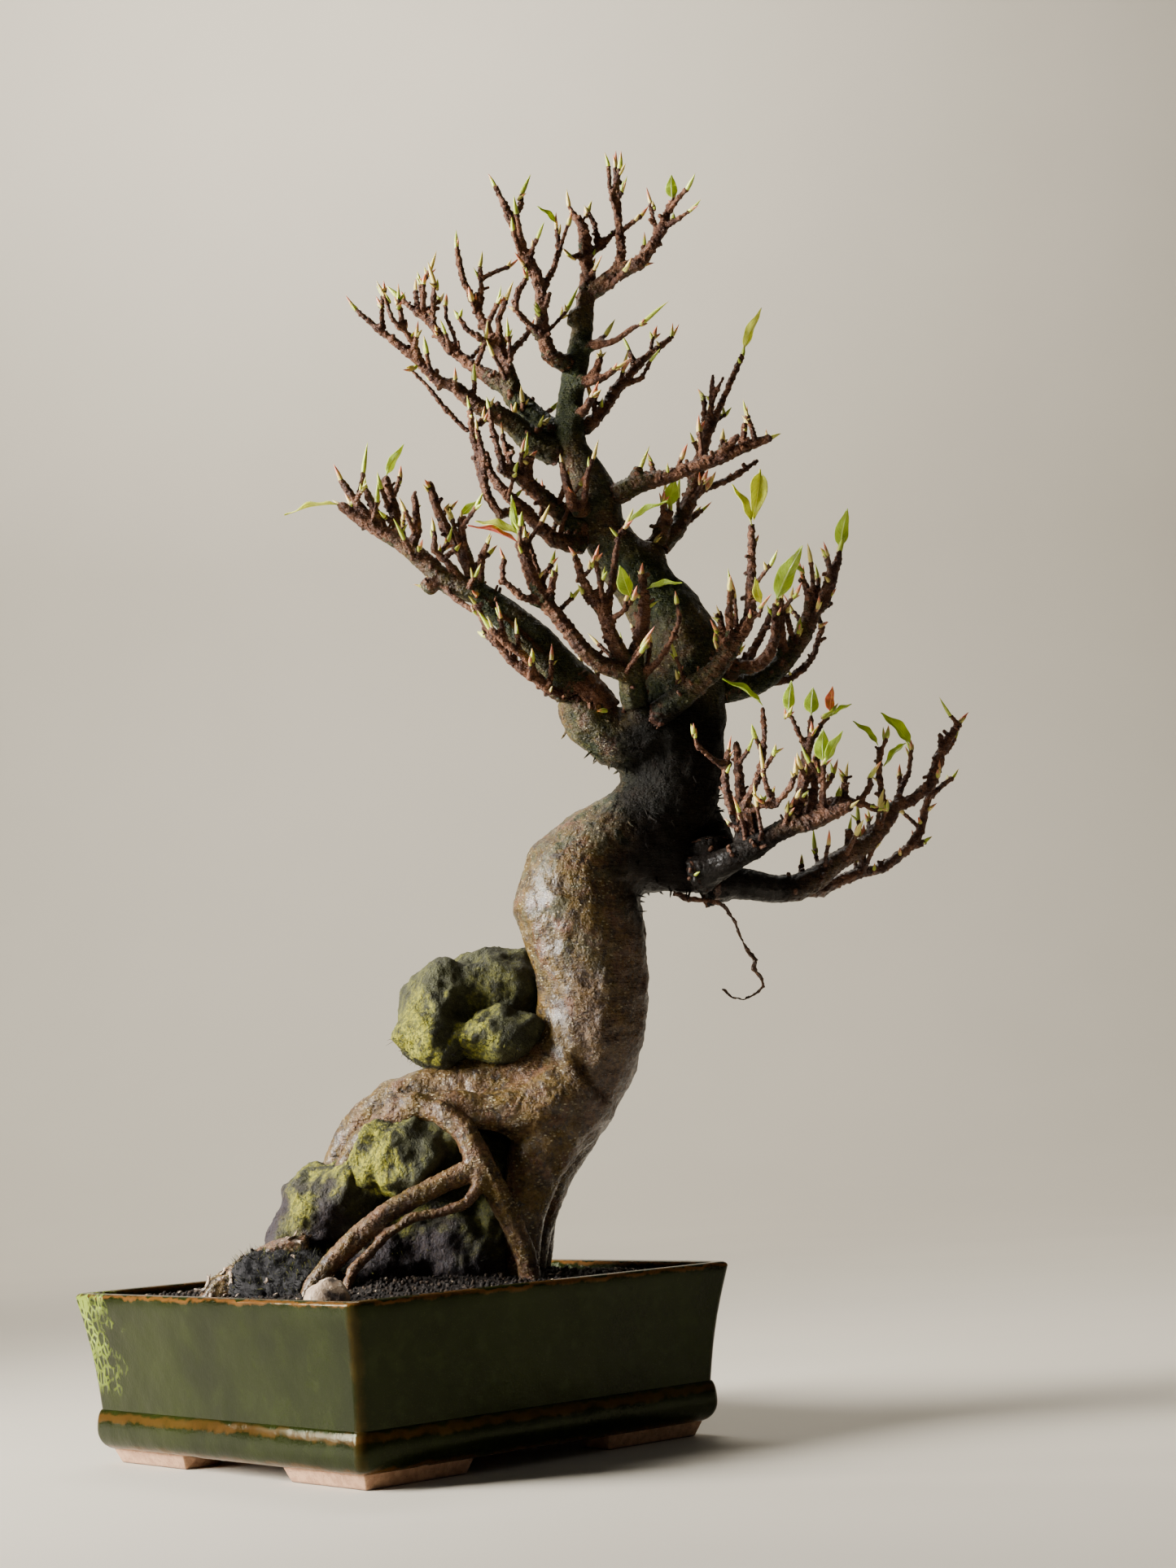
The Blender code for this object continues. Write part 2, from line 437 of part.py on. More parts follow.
GOLDEN_ANGLE = math.pi * (3 - math.sqrt(5))
FACET_REACH = 0.80
LUMP_DETAIL = 2
MOSS_MOUND = [((-60, -34, 4), (34, 28, 24)), ((-40, -50, -2), (24, 20, 18))]
LOOSE_STONE = [((-27, -116, -1), (11, 9, 9))]

# Leaves: where the leaf starts, where its tip is, its width, the way its face turns in degrees about
# its own length, and its colour.
LEAVES = {
    "leaf_left_tip": ((-17.5, -31, 438.5), (-47, -34, 436), 6.5, 70, "young"),
    "leaf_left_shoot": ((13.5, -18, 456), (23, -12, 472), 5.5, 35, "green"),
    "leaf_left_small": ((55.5, -24, 430), (64, -26, 437), 5, 40, "green"),
    "leaf_front_red": ((83.5, -59, 412), (58, -66, 424), 5.5, 60, "red"),
    "leaf_front_broad": ((84, -58, 416.5), (62, -58, 426), 9, 50, "young"),
    "leaf_front_upright": ((86.5, -57, 415.5), (83, -60, 439), 5, 20, "green"),
    "leaf_front_right": ((150.5, -43, 420), (172, -50, 431.5), 5, 65, "green"),
    "leaf_front_low": ((147.5, -57, 378), (142.5, -64, 395), 9, 20, "green"),
    "leaf_front_side": ((159.6, -44, 381), (178, -50, 383.5), 5, 65, "green"),
    "leaf_fork_stub": ((173, -2, 429), (177, -6, 444), 8.5, 10, "green"),
    "leaf_fork_tip": ((221.5, 22, 518), (232, 20, 541), 6, 30, "young"),
    "leaf_right_front_left": ((218, -46, 416.5), (210, -52, 439), 6, 40, "young"),
    "leaf_right_front_tip": ((220.5, -43, 417), (225.5, -40, 444), 10, 10, "young"),
    "leaf_right_front_spur": ((221.5, -50, 370), (219, -55, 384), 6, 30, "young"),
    "leaf_right_tip": ((268.8, 24, 399.5), (274, 20, 421), 8.5, 15, "green"),
    "leaf_right_inner": ((231, -11, 371), (247, -16, 401), 11, 20, "green"),
    "leaf_right_stub": ((245.5, 12, 386), (236, 6, 391), 6.5, 50, "green"),
    "leaf_low_tall": ((217, -36, 311.5), (198, -44, 327.5), 6, 55, "green"),
    "leaf_low_a": ((233.7, -44, 307.5), (236, -47, 323.5), 7, 15, "green"),
    "leaf_low_b": ((246.3, -38.5, 305.5), (248, -40, 319), 8.5, 10, "green"),
    "leaf_low_c": ((257, -32, 306.5), (259, -32, 319), 6.5, 30, "red"),
    "leaf_low_d": ((259, -29, 303), (269, -24, 308.5), 4.5, 60, "green"),
    "leaf_low_e": ((251.2, -45, 278), (252, -48, 295), 9.5, 10, "green"),
    "leaf_low_f": ((253.6, -46, 277.5), (263, -48, 293.5), 6.5, 35, "green"),
    "leaf_long_a": ((299.8, 39, 284.5), (286, 34, 303), 9, 35, "green"),
    "leaf_long_b": ((297, 36, 283), (284.5, 30, 272.5), 5.5, 50, "green"),
    "leaf_long_c": ((281, 22, 285.5), (270, 16, 299), 6, 45, "green"),
    "leaf_top_centre": ((116.3, -1.5, 597.8), (107, -4, 609), 5.5, 45, "green"),
    "leaf_top_right": ((184.8, -16.5, 610.6), (185, -20, 623), 7, 10, "green"),
}


# Materials: name, colour, roughness, metallic.
FINISHES = {
    "glaze": ((0.045, 0.055, 0.022), 0.12, 0.0),
    "screen_plastic": ((0.02, 0.02, 0.02), 0.5, 0.0),
    "soil": ((0.035, 0.028, 0.024), 0.95, 0.0),
    "stone": ((0.16, 0.16, 0.10), 0.9, 0.0),
    "moss": ((0.045, 0.055, 0.03), 0.95, 0.0),
    "trunk_bark": ((0.20, 0.15, 0.10), 0.75, 0.0),
    "branch_bark": ((0.13, 0.085, 0.06), 0.75, 0.0),
    "leaf_green": ((0.18, 0.36, 0.03), 0.4, 0.0),
    "leaf_young": ((0.45, 0.52, 0.08), 0.4, 0.0),
    "leaf_red": ((0.62, 0.16, 0.12), 0.4, 0.0),
}


def clear_scene():
    for obj in list(bpy.data.objects):
        bpy.data.objects.remove(obj)


def finish(name):
    """The Principled material of that name, made once."""
    found = bpy.data.materials.get(name)
    if found:
        return found
    colour, roughness, metallic = FINISHES[name]
    material = bpy.data.materials.new(name)
    material.use_nodes = True
    shader = material.node_tree.nodes["Principled BSDF"]
    shader.inputs["Base Color"].default_value = (*colour, 1)
    shader.inputs["Roughness"].default_value = roughness
    shader.inputs["Metallic"].default_value = metallic
    return material


def object_of(name, bm, material):
    """A linked object that holds the bmesh, with its normals outwards."""
    bmesh.ops.recalc_face_normals(bm, faces=bm.faces)
    mesh = bpy.data.meshes.new(name)
    bm.to_mesh(mesh)
    bm.free()
    obj = bpy.data.objects.new(name, mesh)
    bpy.context.scene.collection.objects.link(obj)
    obj.data.materials.append(finish(material))
    return obj


def apply_boolean(obj, operation, *others, solver="EXACT"):
    """Joins to obj, or cuts from it, each of the others, which are then removed.

    Limbs and stones meet at grazing angles, where EXACT leaves open edges, so they use MANIFOLD.
    """
    for other in others:
        modifier = obj.modifiers.new("boolean", "BOOLEAN")
        modifier.operation = operation
        modifier.solver = solver
        modifier.object = other
        graph = bpy.context.evaluated_depsgraph_get()
        mesh = bpy.data.meshes.new_from_object(obj.evaluated_get(graph))
        obj.modifiers.clear()
        old = obj.data
        obj.data = mesh
        bpy.data.meshes.remove(old)
        bpy.data.objects.remove(other)
    return obj


def swollen(obj, by):
    """A copy of obj grown by that much all over, for use as a cutter."""
    bm = bmesh.new()
    bm.from_mesh(obj.data)
    bm.normal_update()
    moves = [(v, v.normal * by * min(v.calc_shell_factor(), 2.0)) for v in bm.verts]
    for vert, move in moves:
        vert.co += move
    return object_of(obj.name + "_cutter", bm, "soil")


def cut_by(obj, *neighbours, gap=CLEARANCE):
    """Cuts obj back from its neighbours, with the gap that pieces keep, and keeps its main body.

    A grown copy can fall short in a deep crease, so each neighbour is cut away as it is, too.
    """
    cutters = [swollen(neighbour, by) for neighbour in neighbours for by in (0, gap)]
    apply_boolean(obj, "DIFFERENCE", *cutters, solver="MANIFOLD")
    return keep_main_body(obj)


def near(obj, other):
    """Whether the two objects' bounding boxes meet."""
    ours, theirs = ([vert.co for vert in o.data.vertices] for o in (obj, other))
    return all(
        min(p[axis] for p in ours) < max(p[axis] for p in theirs) + CLEARANCE
        and min(p[axis] for p in theirs) < max(p[axis] for p in ours) + CLEARANCE
        for axis in range(3)
    )


def keep_main_body(obj):
    """Drops the crumbs that a cut leaves beside the main body, such as a limb's end behind its fork."""
    bm = bmesh.new()
    bm.from_mesh(obj.data)
    unseen = set(bm.verts)
    bodies = []
    while unseen:
        body = [unseen.pop()]
        for vert in body:
            near = [edge.other_vert(vert) for edge in vert.link_edges]
            fresh = [other for other in near if other in unseen]
            unseen.difference_update(fresh)
            body.extend(fresh)
        bodies.append(body)
    bodies.sort(key=len)
    crumbs = [vert for body in bodies[:-1] for vert in body]
    bmesh.ops.delete(bm, geom=crumbs, context="VERTS")
    bm.to_mesh(obj.data)
    bm.free()
    return obj


# ---- Pot ---------------------------------------------------------------------------------------


def rounded_square(half, radius, z, steps=3):
    """Points round a square of that half side with round corners, starting at the +X +Y corner."""
    points = []
    for corner in range(4):
        start = corner * math.pi / 2
        centre = Matrix.Rotation(start, 3, "Z") @ Vector((half - radius, half - radius, 0))
        for step in range(steps + 1):
            angle = start + step / steps * math.pi / 2
            points.append(centre + Vector((math.cos(angle), math.sin(angle), 0)) * radius)
    return [Vector((p.x, p.y, z)) for p in points]


def lofted(rings):
    """A closed solid through rings of points, in order, with both ends capped."""
    bm = bmesh.new()
    loops = [[bm.verts.new(p) for p in ring] for ring in rings]
    count = len(loops[0])
    for low, high in zip(loops, loops[1:]):
        for i in range(count):
            j = (i + 1) % count
            bm.faces.new((low[i], low[j], high[j], high[i]))
    bm.faces.new(list(reversed(loops[0])))
    bm.faces.new(loops[-1])
    return bm


def outer_half(z):
    """Half the pot's outer side at height z on its wall."""
    share = (z - NECK_HEIGHT) / (POT_HEIGHT - NECK_HEIGHT)
    hollow = WALL_HOLLOW * math.sin(math.pi * max(0.0, min(1.0, share)))
    return POT_SIDE / 2 - NECK_INSET * (1 - share) - hollow


def inner_half(z):
    """Half the side of the pot's straight inner wall at height z."""
    share = (z - NECK_HEIGHT) / (POT_HEIGHT - NECK_HEIGHT)
    return POT_SIDE / 2 - NECK_INSET * (1 - share) - WALL


def floor_top():
    return FOOT_HEIGHT + FLOOR_THICKNESS


def outer_profile():
    """(height, half side) up the outside of the pot, from under its floor to the rim's edge."""
    half = POT_SIDE / 2
    profile = [(FOOT_HEIGHT, half - FOOT_TOP_INSET)]
    depth = FOOT_TOP_INSET - MOULDING_INSET
    drop = MOULDING_HEIGHT - FOOT_HEIGHT
    for step in range(1, 5):
        angle = math.pi / 2 * step / 4
        out = half - FOOT_TOP_INSET + depth * math.sin(angle)
        profile.append((MOULDING_HEIGHT - drop * math.cos(angle), out))
    rise = NECK_HEIGHT - MOULDING_HEIGHT
    neck = NECK_INSET - MOULDING_INSET
    for step in range(1, 4):
        angle = math.pi / 2 * step / 3
        out = half - MOULDING_INSET - neck * (1 - math.cos(angle))
        profile.append((MOULDING_HEIGHT + rise * math.sin(angle), out))
    wall = POT_HEIGHT - RIM_ROUND - NECK_HEIGHT
    for step in range(1, 4):
        z = NECK_HEIGHT + wall * step / 3
        profile.append((z, outer_half(z)))
    return profile


def rim_profile():
    """(height, half side) over the rounded rim, from its outer edge to its inner edge."""
    z = POT_HEIGHT - RIM_ROUND
    outer, inner = outer_half(z) - RIM_ROUND, inner_half(z) + RIM_ROUND
    quarter = [math.pi / 6 * step for step in range(3)]
    over = [(z + RIM_ROUND * math.sin(a), outer + RIM_ROUND * math.cos(a)) for a in quarter]
    back = [(z + RIM_ROUND * math.cos(a), inner - RIM_ROUND * math.sin(a)) for a in quarter]
    return over[1:] + [(POT_HEIGHT, outer)] + back


def inner_profile():
    """(height, half side) down the inside of the pot to its floor."""
    top = POT_HEIGHT - RIM_ROUND
    return [(z, inner_half(z)) for z in (top, (top + NECK_HEIGHT) / 2, NECK_HEIGHT, floor_top())]


FEET = {
    "foot_left_front": (-1, -1), "foot_right_front": (1, -1), "foot_left_back": (-1, 1), "foot_right_back": (1, 1),
}


def make_feet():
    """Four corner feet, luted on under the pot: each is one corner of a band that the gaps cut through."""
    half = POT_SIDE / 2
    outside = [(0, half - FOOT_BASE_INSET), (FOOT_HEIGHT, half - FOOT_TOP_INSET)]
    hollow = half - FOOT_BASE_INSET - FOOT_WIDTH
    for name, (side_x, side_y) in FEET.items():
        foot = object_of(name, lofted([rounded_square(h, CORNER_RADIUS, z) for z, h in outside]), "glaze")
        cutters = [box("foot_hollow", (-hollow, -hollow, -FOOT_HEIGHT), (hollow, hollow, 2 * FOOT_HEIGHT))]
        cutters += [foot_gap(turn) for turn in (0, math.pi / 2)]
        apply_boolean(foot, "DIFFERENCE", *cutters)
        low = [min(0, side * POT_SIDE) for side in (side_x, side_y)]
        corner = box("corner", (*low, -FOOT_HEIGHT), (low[0] + POT_SIDE, low[1] + POT_SIDE, 2 * FOOT_HEIGHT))
        apply_boolean(foot, "INTERSECT", corner)


def box(name, low, high):
    bm = bmesh.new()
    bmesh.ops.create_cube(bm, size=1)
    for vert in bm.verts:
        for axis in range(3):
            vert.co[axis] = low[axis] if vert.co[axis] < 0 else high[axis]
    return object_of(name, bm, "glaze")


def foot_gap(turn):
    """A bar across the pot, wider at the bottom, that opens the middle of two sides."""
    low, high = -FOOT_HEIGHT, 2 * FOOT_HEIGHT
    slope = FOOT_GAP_SLOPE * 1.5
    bm = bmesh.new()
    bmesh.ops.create_cube(bm, size=1)
    for vert in bm.verts:
        wide = FOOT_GAP / 2 + (slope if vert.co.z < 0 else 0)
        vert.co.x *= 2 * POT_SIDE
        vert.co.y = math.copysign(wide, vert.co.y)
        vert.co.z = low if vert.co.z < 0 else high
    bmesh.ops.rotate(bm, verts=bm.verts, matrix=Matrix.Rotation(turn, 3, "Z"))
    return object_of("foot_gap", bm, "glaze")


def drain_places():
    return [(side * DRAIN_SPACING / 2, 0) for side in (-1, 1)]


def make_pot():
    outside = [rounded_square(half, CORNER_RADIUS, z) for z, half in outer_profile() + rim_profile()]
    inside = [rounded_square(half, CORNER_RADIUS / 2, z) for z, half in inner_profile()]
    pot = object_of("pot", lofted(outside + inside), "glaze")
    drills = []
    for x, y in drain_places():
        bm = bmesh.new()
        bmesh.ops.create_cone(
            bm, cap_ends=True, segments=20, radius1=DRAIN_RADIUS, radius2=DRAIN_RADIUS, depth=4 * floor_top(),
            matrix=Matrix.Translation((x, y, 0)),
        )
        drills.append(object_of("drill", bm, "glaze"))
    return apply_boolean(pot, "DIFFERENCE", *drills)


def make_screens():
    """A square plastic grid over each drainage hole, lying on the pot's floor."""
    for index, (x, y) in enumerate(drain_places()):
        half = SCREEN_SIDE / 2
        low = floor_top() + CLEARANCE
        high = low + SCREEN_THICKNESS
        plate = box(f"drain_screen_{index + 1}", (x - half, y - half, low), (x + half, y + half, high))
        pitch = (SCREEN_SIDE - SCREEN_BAR) / SCREEN_CELLS
        cell = Vector((pitch - SCREEN_BAR, pitch - SCREEN_BAR, 3 * SCREEN_THICKNESS))
        start = Vector((x - half + SCREEN_BAR, y - half + SCREEN_BAR, low - SCREEN_THICKNESS))
        bm = bmesh.new()
        for i in range(SCREEN_CELLS):
            for j in range(SCREEN_CELLS):
                corner = start + Vector((i, j, 0)) * pitch
                for vert in bmesh.ops.create_cube(bm, size=1)["verts"]:
                    vert.co = corner + (vert.co + Vector((0.5, 0.5, 0.5))) * cell
        apply_boolean(plate, "DIFFERENCE", object_of("cells", bm, "glaze"))
        plate.data.materials.clear()
        plate.data.materials.append(finish("screen_plastic"))


# ---- Wood --------------------------------------------------------------------------------------


def placed(x, y, z):
    """A point of the tree's front plane and its depth, in millimetres, as a place in the model."""
    share = y / -EYE.y
    seen = Vector((EYE.x + (x - EYE.x) * (1 + share), y, EYE.z + (z - EYE.z) * (1 + share)))
    return standing(*seen)


def standing(x, y, z):
    """A point of the tree's own frame, in millimetres, as a place in the model."""
    turned = Matrix.Rotation(TREE_TURN, 3, "Z") @ Vector((x, y, z))
    return turned * MM * TREE_SCALE + Vector((0, 0, POT_HEIGHT - GROUND_DROP))


def smooth_route(points):
    """Sections (place, radius) along a Catmull-Rom curve through the points."""
    knots = [(placed(*p[:3]), p[3] * MM * TREE_SCALE) for p in points]
    ends = [knots[0]] + knots + [knots[-1]]
    route = []
    for before, here, after, beyond in zip(ends, ends[1:], ends[2:], ends[3:]):
        gap = (after[0] - here[0]).length
        step = max(LEAST_SECTION * MM, SECTION_PER_RADIUS * min(here[1], after[1])) * TREE_SCALE
        count = max(1, round(gap / step))
        for i in range(count):
            t = i / count
            place = catmull(before[0], here[0], after[0], beyond[0], t)
            route.append((place, here[1] + (after[1] - here[1]) * t))
    route.append(knots[-1])
    return route


def catmull(a, b, c, d, t):
    """The point at t from b to c, on the smooth curve that also passes a and d."""
    straight = 2 * b + (c - a) * t
    bend = (2 * a - 5 * b + 4 * c - d) * t ** 2 + (3 * b - a - 3 * c + d) * t ** 3
    return (straight + bend) / 2


def limb_mesh(points):
    """A tapering limb along its route, with a blunt rounded tip."""
    route = smooth_route(points)
    thickest = max(p[3] for p in points)
    sides = FAT_SIDES if thickest > FAT_RADIUS else LIMB_SIDES if thickest > LIMB_RADIUS else TWIG_SIDES
    side = Vector((0, 1, 0.3)).normalized()
    rings = []
    for index, (centre, radius) in enumerate(route):
        ahead = route[min(index + 1, len(route) - 1)][0] - route[max(index - 1, 0)][0]
        along = ahead.normalized()
        side = (side - along * side.dot(along)).normalized()
        other = along.cross(side)
        rings.append([
            centre + (side * math.cos(a) + other * math.sin(a)) * radius
            for a in (2 * math.pi * k / sides for k in range(sides))
        ])
        last = along
    centre, radius = route[-1]
    rings.append([centre + last * radius * 0.5 + (p - centre) * 0.6 for p in rings[-1]])
    return lofted(rings)


def make_limbs(name, limbs, material):
    """One solid from the named limbs, joined in order."""
    joined = None
    for points in limbs.values():
        limb = object_of(name, limb_mesh(points), material)
        joined = apply_boolean(joined, "UNION", limb, solver="MANIFOLD") if joined else limb
    joined.name = name
    return joined


# ---- Stones, moss and soil ---------------------------------------------------------------------


def lump(name, centre, halves, seed, roughness):
    """A weathered lump: a sphere pushed in and out by noise, with some sides broken flat."""
    bm = bmesh.new()
    bmesh.ops.create_icosphere(bm, subdivisions=LUMP_DETAIL, radius=1)
    shift = Vector((seed * 7.3, seed * 3.1, seed * 5.7))
    for vert in bm.verts:
        way = vert.co.normalized()
        rough = noise.noise(way * 1.6 + shift) + 0.4 * noise.noise(way * 4 + shift)
        swell = 1 + roughness * rough
        for face in range(STONE_FACETS):
            reach = way.dot(facet_normal(seed, face)) * swell
            swell *= min(1.0, FACET_REACH / max(reach, FACET_REACH))
        vert.co = way * swell
    for vert in bm.verts:
        local = Vector((vert.co.x * halves[0], vert.co.y * halves[1], vert.co.z * halves[2]))
        vert.co = standing(*(Vector(centre) + local))
    return object_of(name, bm, "stone")


def facet_normal(seed, face):
    """The way that a broken face points: the faces spread evenly round, from below to above."""
    turn = GOLDEN_ANGLE * (face + 1) + seed
    rise = (2 * face + 1) / STONE_FACETS - 1
    flat = math.sqrt(max(0.0, 1 - rise * rise))
    return Vector((flat * math.cos(turn), flat * math.sin(turn), rise))


def make_lumps(name, lumps, seed, roughness, material="stone"):
    joined = None
    for index, (centre, halves) in enumerate(lumps):
        piece = lump(name, centre, halves, seed + index * 1.7, roughness)
        joined = apply_boolean(joined, "UNION", piece, solver="MANIFOLD") if joined else piece
    joined.name = name
    joined.data.materials.clear()
    joined.data.materials.append(finish(material))
    return joined


def soil_height(x, y):
    """The soil's surface: level at the wall, mounded in the middle, and uneven all over."""
    level = POT_HEIGHT - SOIL_DROP
    reach = max(abs(x), abs(y)) / inner_half(level)
    mound = SOIL_MOUND * max(0.0, 1 - reach ** 2)
    return level + mound + SOIL_GRAIN * noise.noise(Vector((x, y, 0)) * 90)


def make_soil():
    """A block from just over the screens to the uneven surface, reaching into the pot's wall, that is cut."""
    cells = 10
    low = floor_top() + SCREEN_THICKNESS + 3 * CLEARANCE
    bm = bmesh.new()
    top = []
    edge = POT_HEIGHT - SOIL_DROP
    for i in range(cells + 1):
        row = []
        for j in range(cells + 1):
            half = inner_half(edge) + WALL / 2
            x, y = ((2 * k / cells - 1) * half for k in (i, j))
            row.append(bm.verts.new((x, y, soil_height(x, y))))
        top.append(row)
    for i in range(cells):
        for j in range(cells):
            bm.faces.new((top[i][j], top[i + 1][j], top[i + 1][j + 1], top[i][j + 1]))
    rim = (
        [top[i][0] for i in range(cells)] + [top[cells][j] for j in range(cells)]
        + [top[i][cells] for i in range(cells, 0, -1)] + [top[0][j] for j in range(cells, 0, -1)]
    )
    shrink = (inner_half(low) + WALL / 2) / (inner_half(edge) + WALL / 2)
    foot = [bm.verts.new((v.co.x * shrink, v.co.y * shrink, low)) for v in rim]
    for i in range(len(rim)):
        j = (i + 1) % len(rim)
        bm.faces.new((rim[i], rim[j], foot[j], foot[i]))
    bm.faces.new(foot)
    return object_of("soil", bm, "soil")


# ---- Leaves ------------------------------------------------------------------------------------


def make_leaf(name, start, tip, width, turn, colour):
    """A thin, slightly cupped blade from start to tip, widest before its middle."""
    a, b = placed(*start), placed(*tip)
    along = b - a
    length = along.length
    along.normalize()
    front = Matrix.Rotation(TREE_TURN, 3, "Z") @ Vector((0, -1, 0))
    across = along.cross(front).normalized()
    across.rotate(Matrix.Rotation(math.radians(turn), 3, along))
    face = across.cross(along)
    half = width * MM * TREE_SCALE / 2
    rings = []
    for share, wide in ((0.0, 0.16), (0.2, 0.7), (0.42, 1.0), (0.68, 0.82), (0.88, 0.4), (1.0, 0.06)):
        bow = math.sin(math.pi * share) * length * 0.05
        centre = a + along * length * share + face * bow
        reach = across * half * wide
        thick = face * LEAF_THICKNESS / 2 * (0.5 + 0.5 * wide)
        cup = face * half * wide * LEAF_CUP
        rings.append([centre + reach + cup, centre + thick, centre - reach + cup, centre - thick])
    return object_of(name, lofted(rings), "leaf_" + colour)


def centre_on_origin():
    """Moves the whole plant so that the origin is under the middle of its bounding box."""
    bpy.context.view_layer.update()
    corners = [obj.matrix_world @ Vector(c) for obj in bpy.data.objects for c in obj.bound_box]
    low = Vector(min(c[i] for c in corners) for i in range(3))
    high = Vector(max(c[i] for c in corners) for i in range(3))
    shift = Vector(((low.x + high.x) / 2, (low.y + high.y) / 2, low.z))
    for obj in bpy.data.objects:
        obj.location -= shift


def main():
    clear_scene()
    pot = make_pot()
    make_feet()
    make_screens()
    wood = make_limbs("trunk", TRUNK, "trunk_bark")
    branches = []
    for name, limbs in BRANCHES.items():
        branch = make_limbs(name, limbs, "branch_bark")
        cut_by(branch, wood, *[other for other in branches if near(branch, other)])
        branches.append(branch)
    surface_root = make_limbs("surface_root", {"root": SURFACE_ROOT}, "trunk_bark")
    stones = []
    for index, (name, lumps) in enumerate(STONES.items()):
        stone = make_lumps(name, lumps, 3.0 + index, STONE_ROUGHNESS)
        cut_by(stone, wood, *stones)
        stones.append(stone)
    moss = make_lumps("moss_mound", MOSS_MOUND, 9.0, STONE_ROUGHNESS, "moss")
    cut_by(moss, wood, surface_root, *stones, gap=LOOSE_CLEARANCE)
    loose = make_lumps("loose_stone", LOOSE_STONE, 12.0, STONE_ROUGHNESS)
    soil = make_soil()
    cut_by(soil, pot, wood, surface_root, moss, loose, *stones, gap=LOOSE_CLEARANCE)
    for name, leaf in LEAVES.items():
        make_leaf(name, *leaf)
    for obj in [wood, surface_root, moss, soil, pot, *branches]:
        obj.data.shade_smooth()
        obj.data.set_sharp_from_angle(angle=math.radians(50))
    centre_on_origin()


main()
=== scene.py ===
import heapq
import json
import math
import random

import bmesh
import bpy
import numpy as np
from bpy.props import FloatProperty, FloatVectorProperty, IntProperty, PointerProperty
from mathutils import Matrix, Vector
from mathutils.bvhtree import BVHTree
from mathutils.kdtree import KDTree


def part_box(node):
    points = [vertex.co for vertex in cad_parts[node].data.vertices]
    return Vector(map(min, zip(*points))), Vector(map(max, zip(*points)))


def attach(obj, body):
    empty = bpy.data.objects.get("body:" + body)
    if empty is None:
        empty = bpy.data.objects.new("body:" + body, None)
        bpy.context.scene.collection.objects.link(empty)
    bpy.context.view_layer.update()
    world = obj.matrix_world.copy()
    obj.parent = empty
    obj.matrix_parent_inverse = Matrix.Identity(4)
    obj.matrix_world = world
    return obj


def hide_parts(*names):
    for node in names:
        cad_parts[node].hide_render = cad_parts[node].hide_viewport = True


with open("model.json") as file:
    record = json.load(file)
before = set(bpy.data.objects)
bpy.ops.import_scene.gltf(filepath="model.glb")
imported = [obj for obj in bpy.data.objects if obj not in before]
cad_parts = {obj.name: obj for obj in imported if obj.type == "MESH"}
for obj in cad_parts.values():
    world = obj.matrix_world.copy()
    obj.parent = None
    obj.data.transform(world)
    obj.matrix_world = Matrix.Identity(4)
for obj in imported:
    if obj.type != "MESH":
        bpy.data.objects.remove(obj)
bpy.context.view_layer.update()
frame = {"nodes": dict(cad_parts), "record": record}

bl_info = {
    "name": "Root-over-rock fig bonsai",
    "version": (1, 0, 0),
    "blender": (4, 5, 0),
    "location": "View3D > Sidebar > Bonsai",
    "description": "Finishes the bonsai's wood, leaves, stones, soil and glazed pot on the CAD frame",
    "category": "Object",
}

BODY = "root"
NODES = frame["nodes"]
POT_LOW, POT_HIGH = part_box("pot")
POT_MIDDLE = (POT_LOW + POT_HIGH) / 2
POT_HALF = (POT_HIGH.x - POT_LOW.x) / 2
RIM = POT_HIGH.z
BRANCHES = sorted(name for name in NODES if name.startswith(("branch_", "crown_")))
LEAVES = sorted(name for name in NODES if name.startswith("leaf_"))
FEET = sorted(name for name in NODES if name.startswith("foot_"))
STONES = sorted(name for name in NODES if name.startswith("stone_"))
SLOTS = {part["node"]: part["material_slot"] for part in frame["record"]["subparts"]}
TREE_TURN = Matrix.Rotation(math.radians(-42), 3, "Z")
BURL = (184, 0, 322)                            # in the tree's frame, in millimetres, as tree_place takes it
OVER_BURL = (174, -14, 362)
SOIL_LEVEL = RIM - 0.016                        # soil lower than this lies at the pot's wall, out of sight
ROUND = 6.28                                    # a full turn, for a random roll
CAMERA_FROM_POT = (-0.9157, -1.1961, 0.181)     # metres from the pot's middle on the floor
CAMERA_TURN = (0.7319, 0.1192, -0.0533)         # yaw, pitch and roll, in radians


# ---- Settings ----------------------------------------------------------------------------------


def colour(name, description, rgb):
    return FloatVectorProperty(
        name=name, description=description, default=(*rgb, 1), size=4, min=0, max=1, subtype="COLOR"
    )


def length(name, description, metres):
    return FloatProperty(
        name=name, description=description, default=metres, precision=5, subtype="DISTANCE", unit="LENGTH"
    )


def amount(name, description, count):
    return IntProperty(name=name, description=description, default=count, min=0)


def power(name, description, watts):
    return FloatProperty(name=name, description=description, default=watts, unit="POWER")


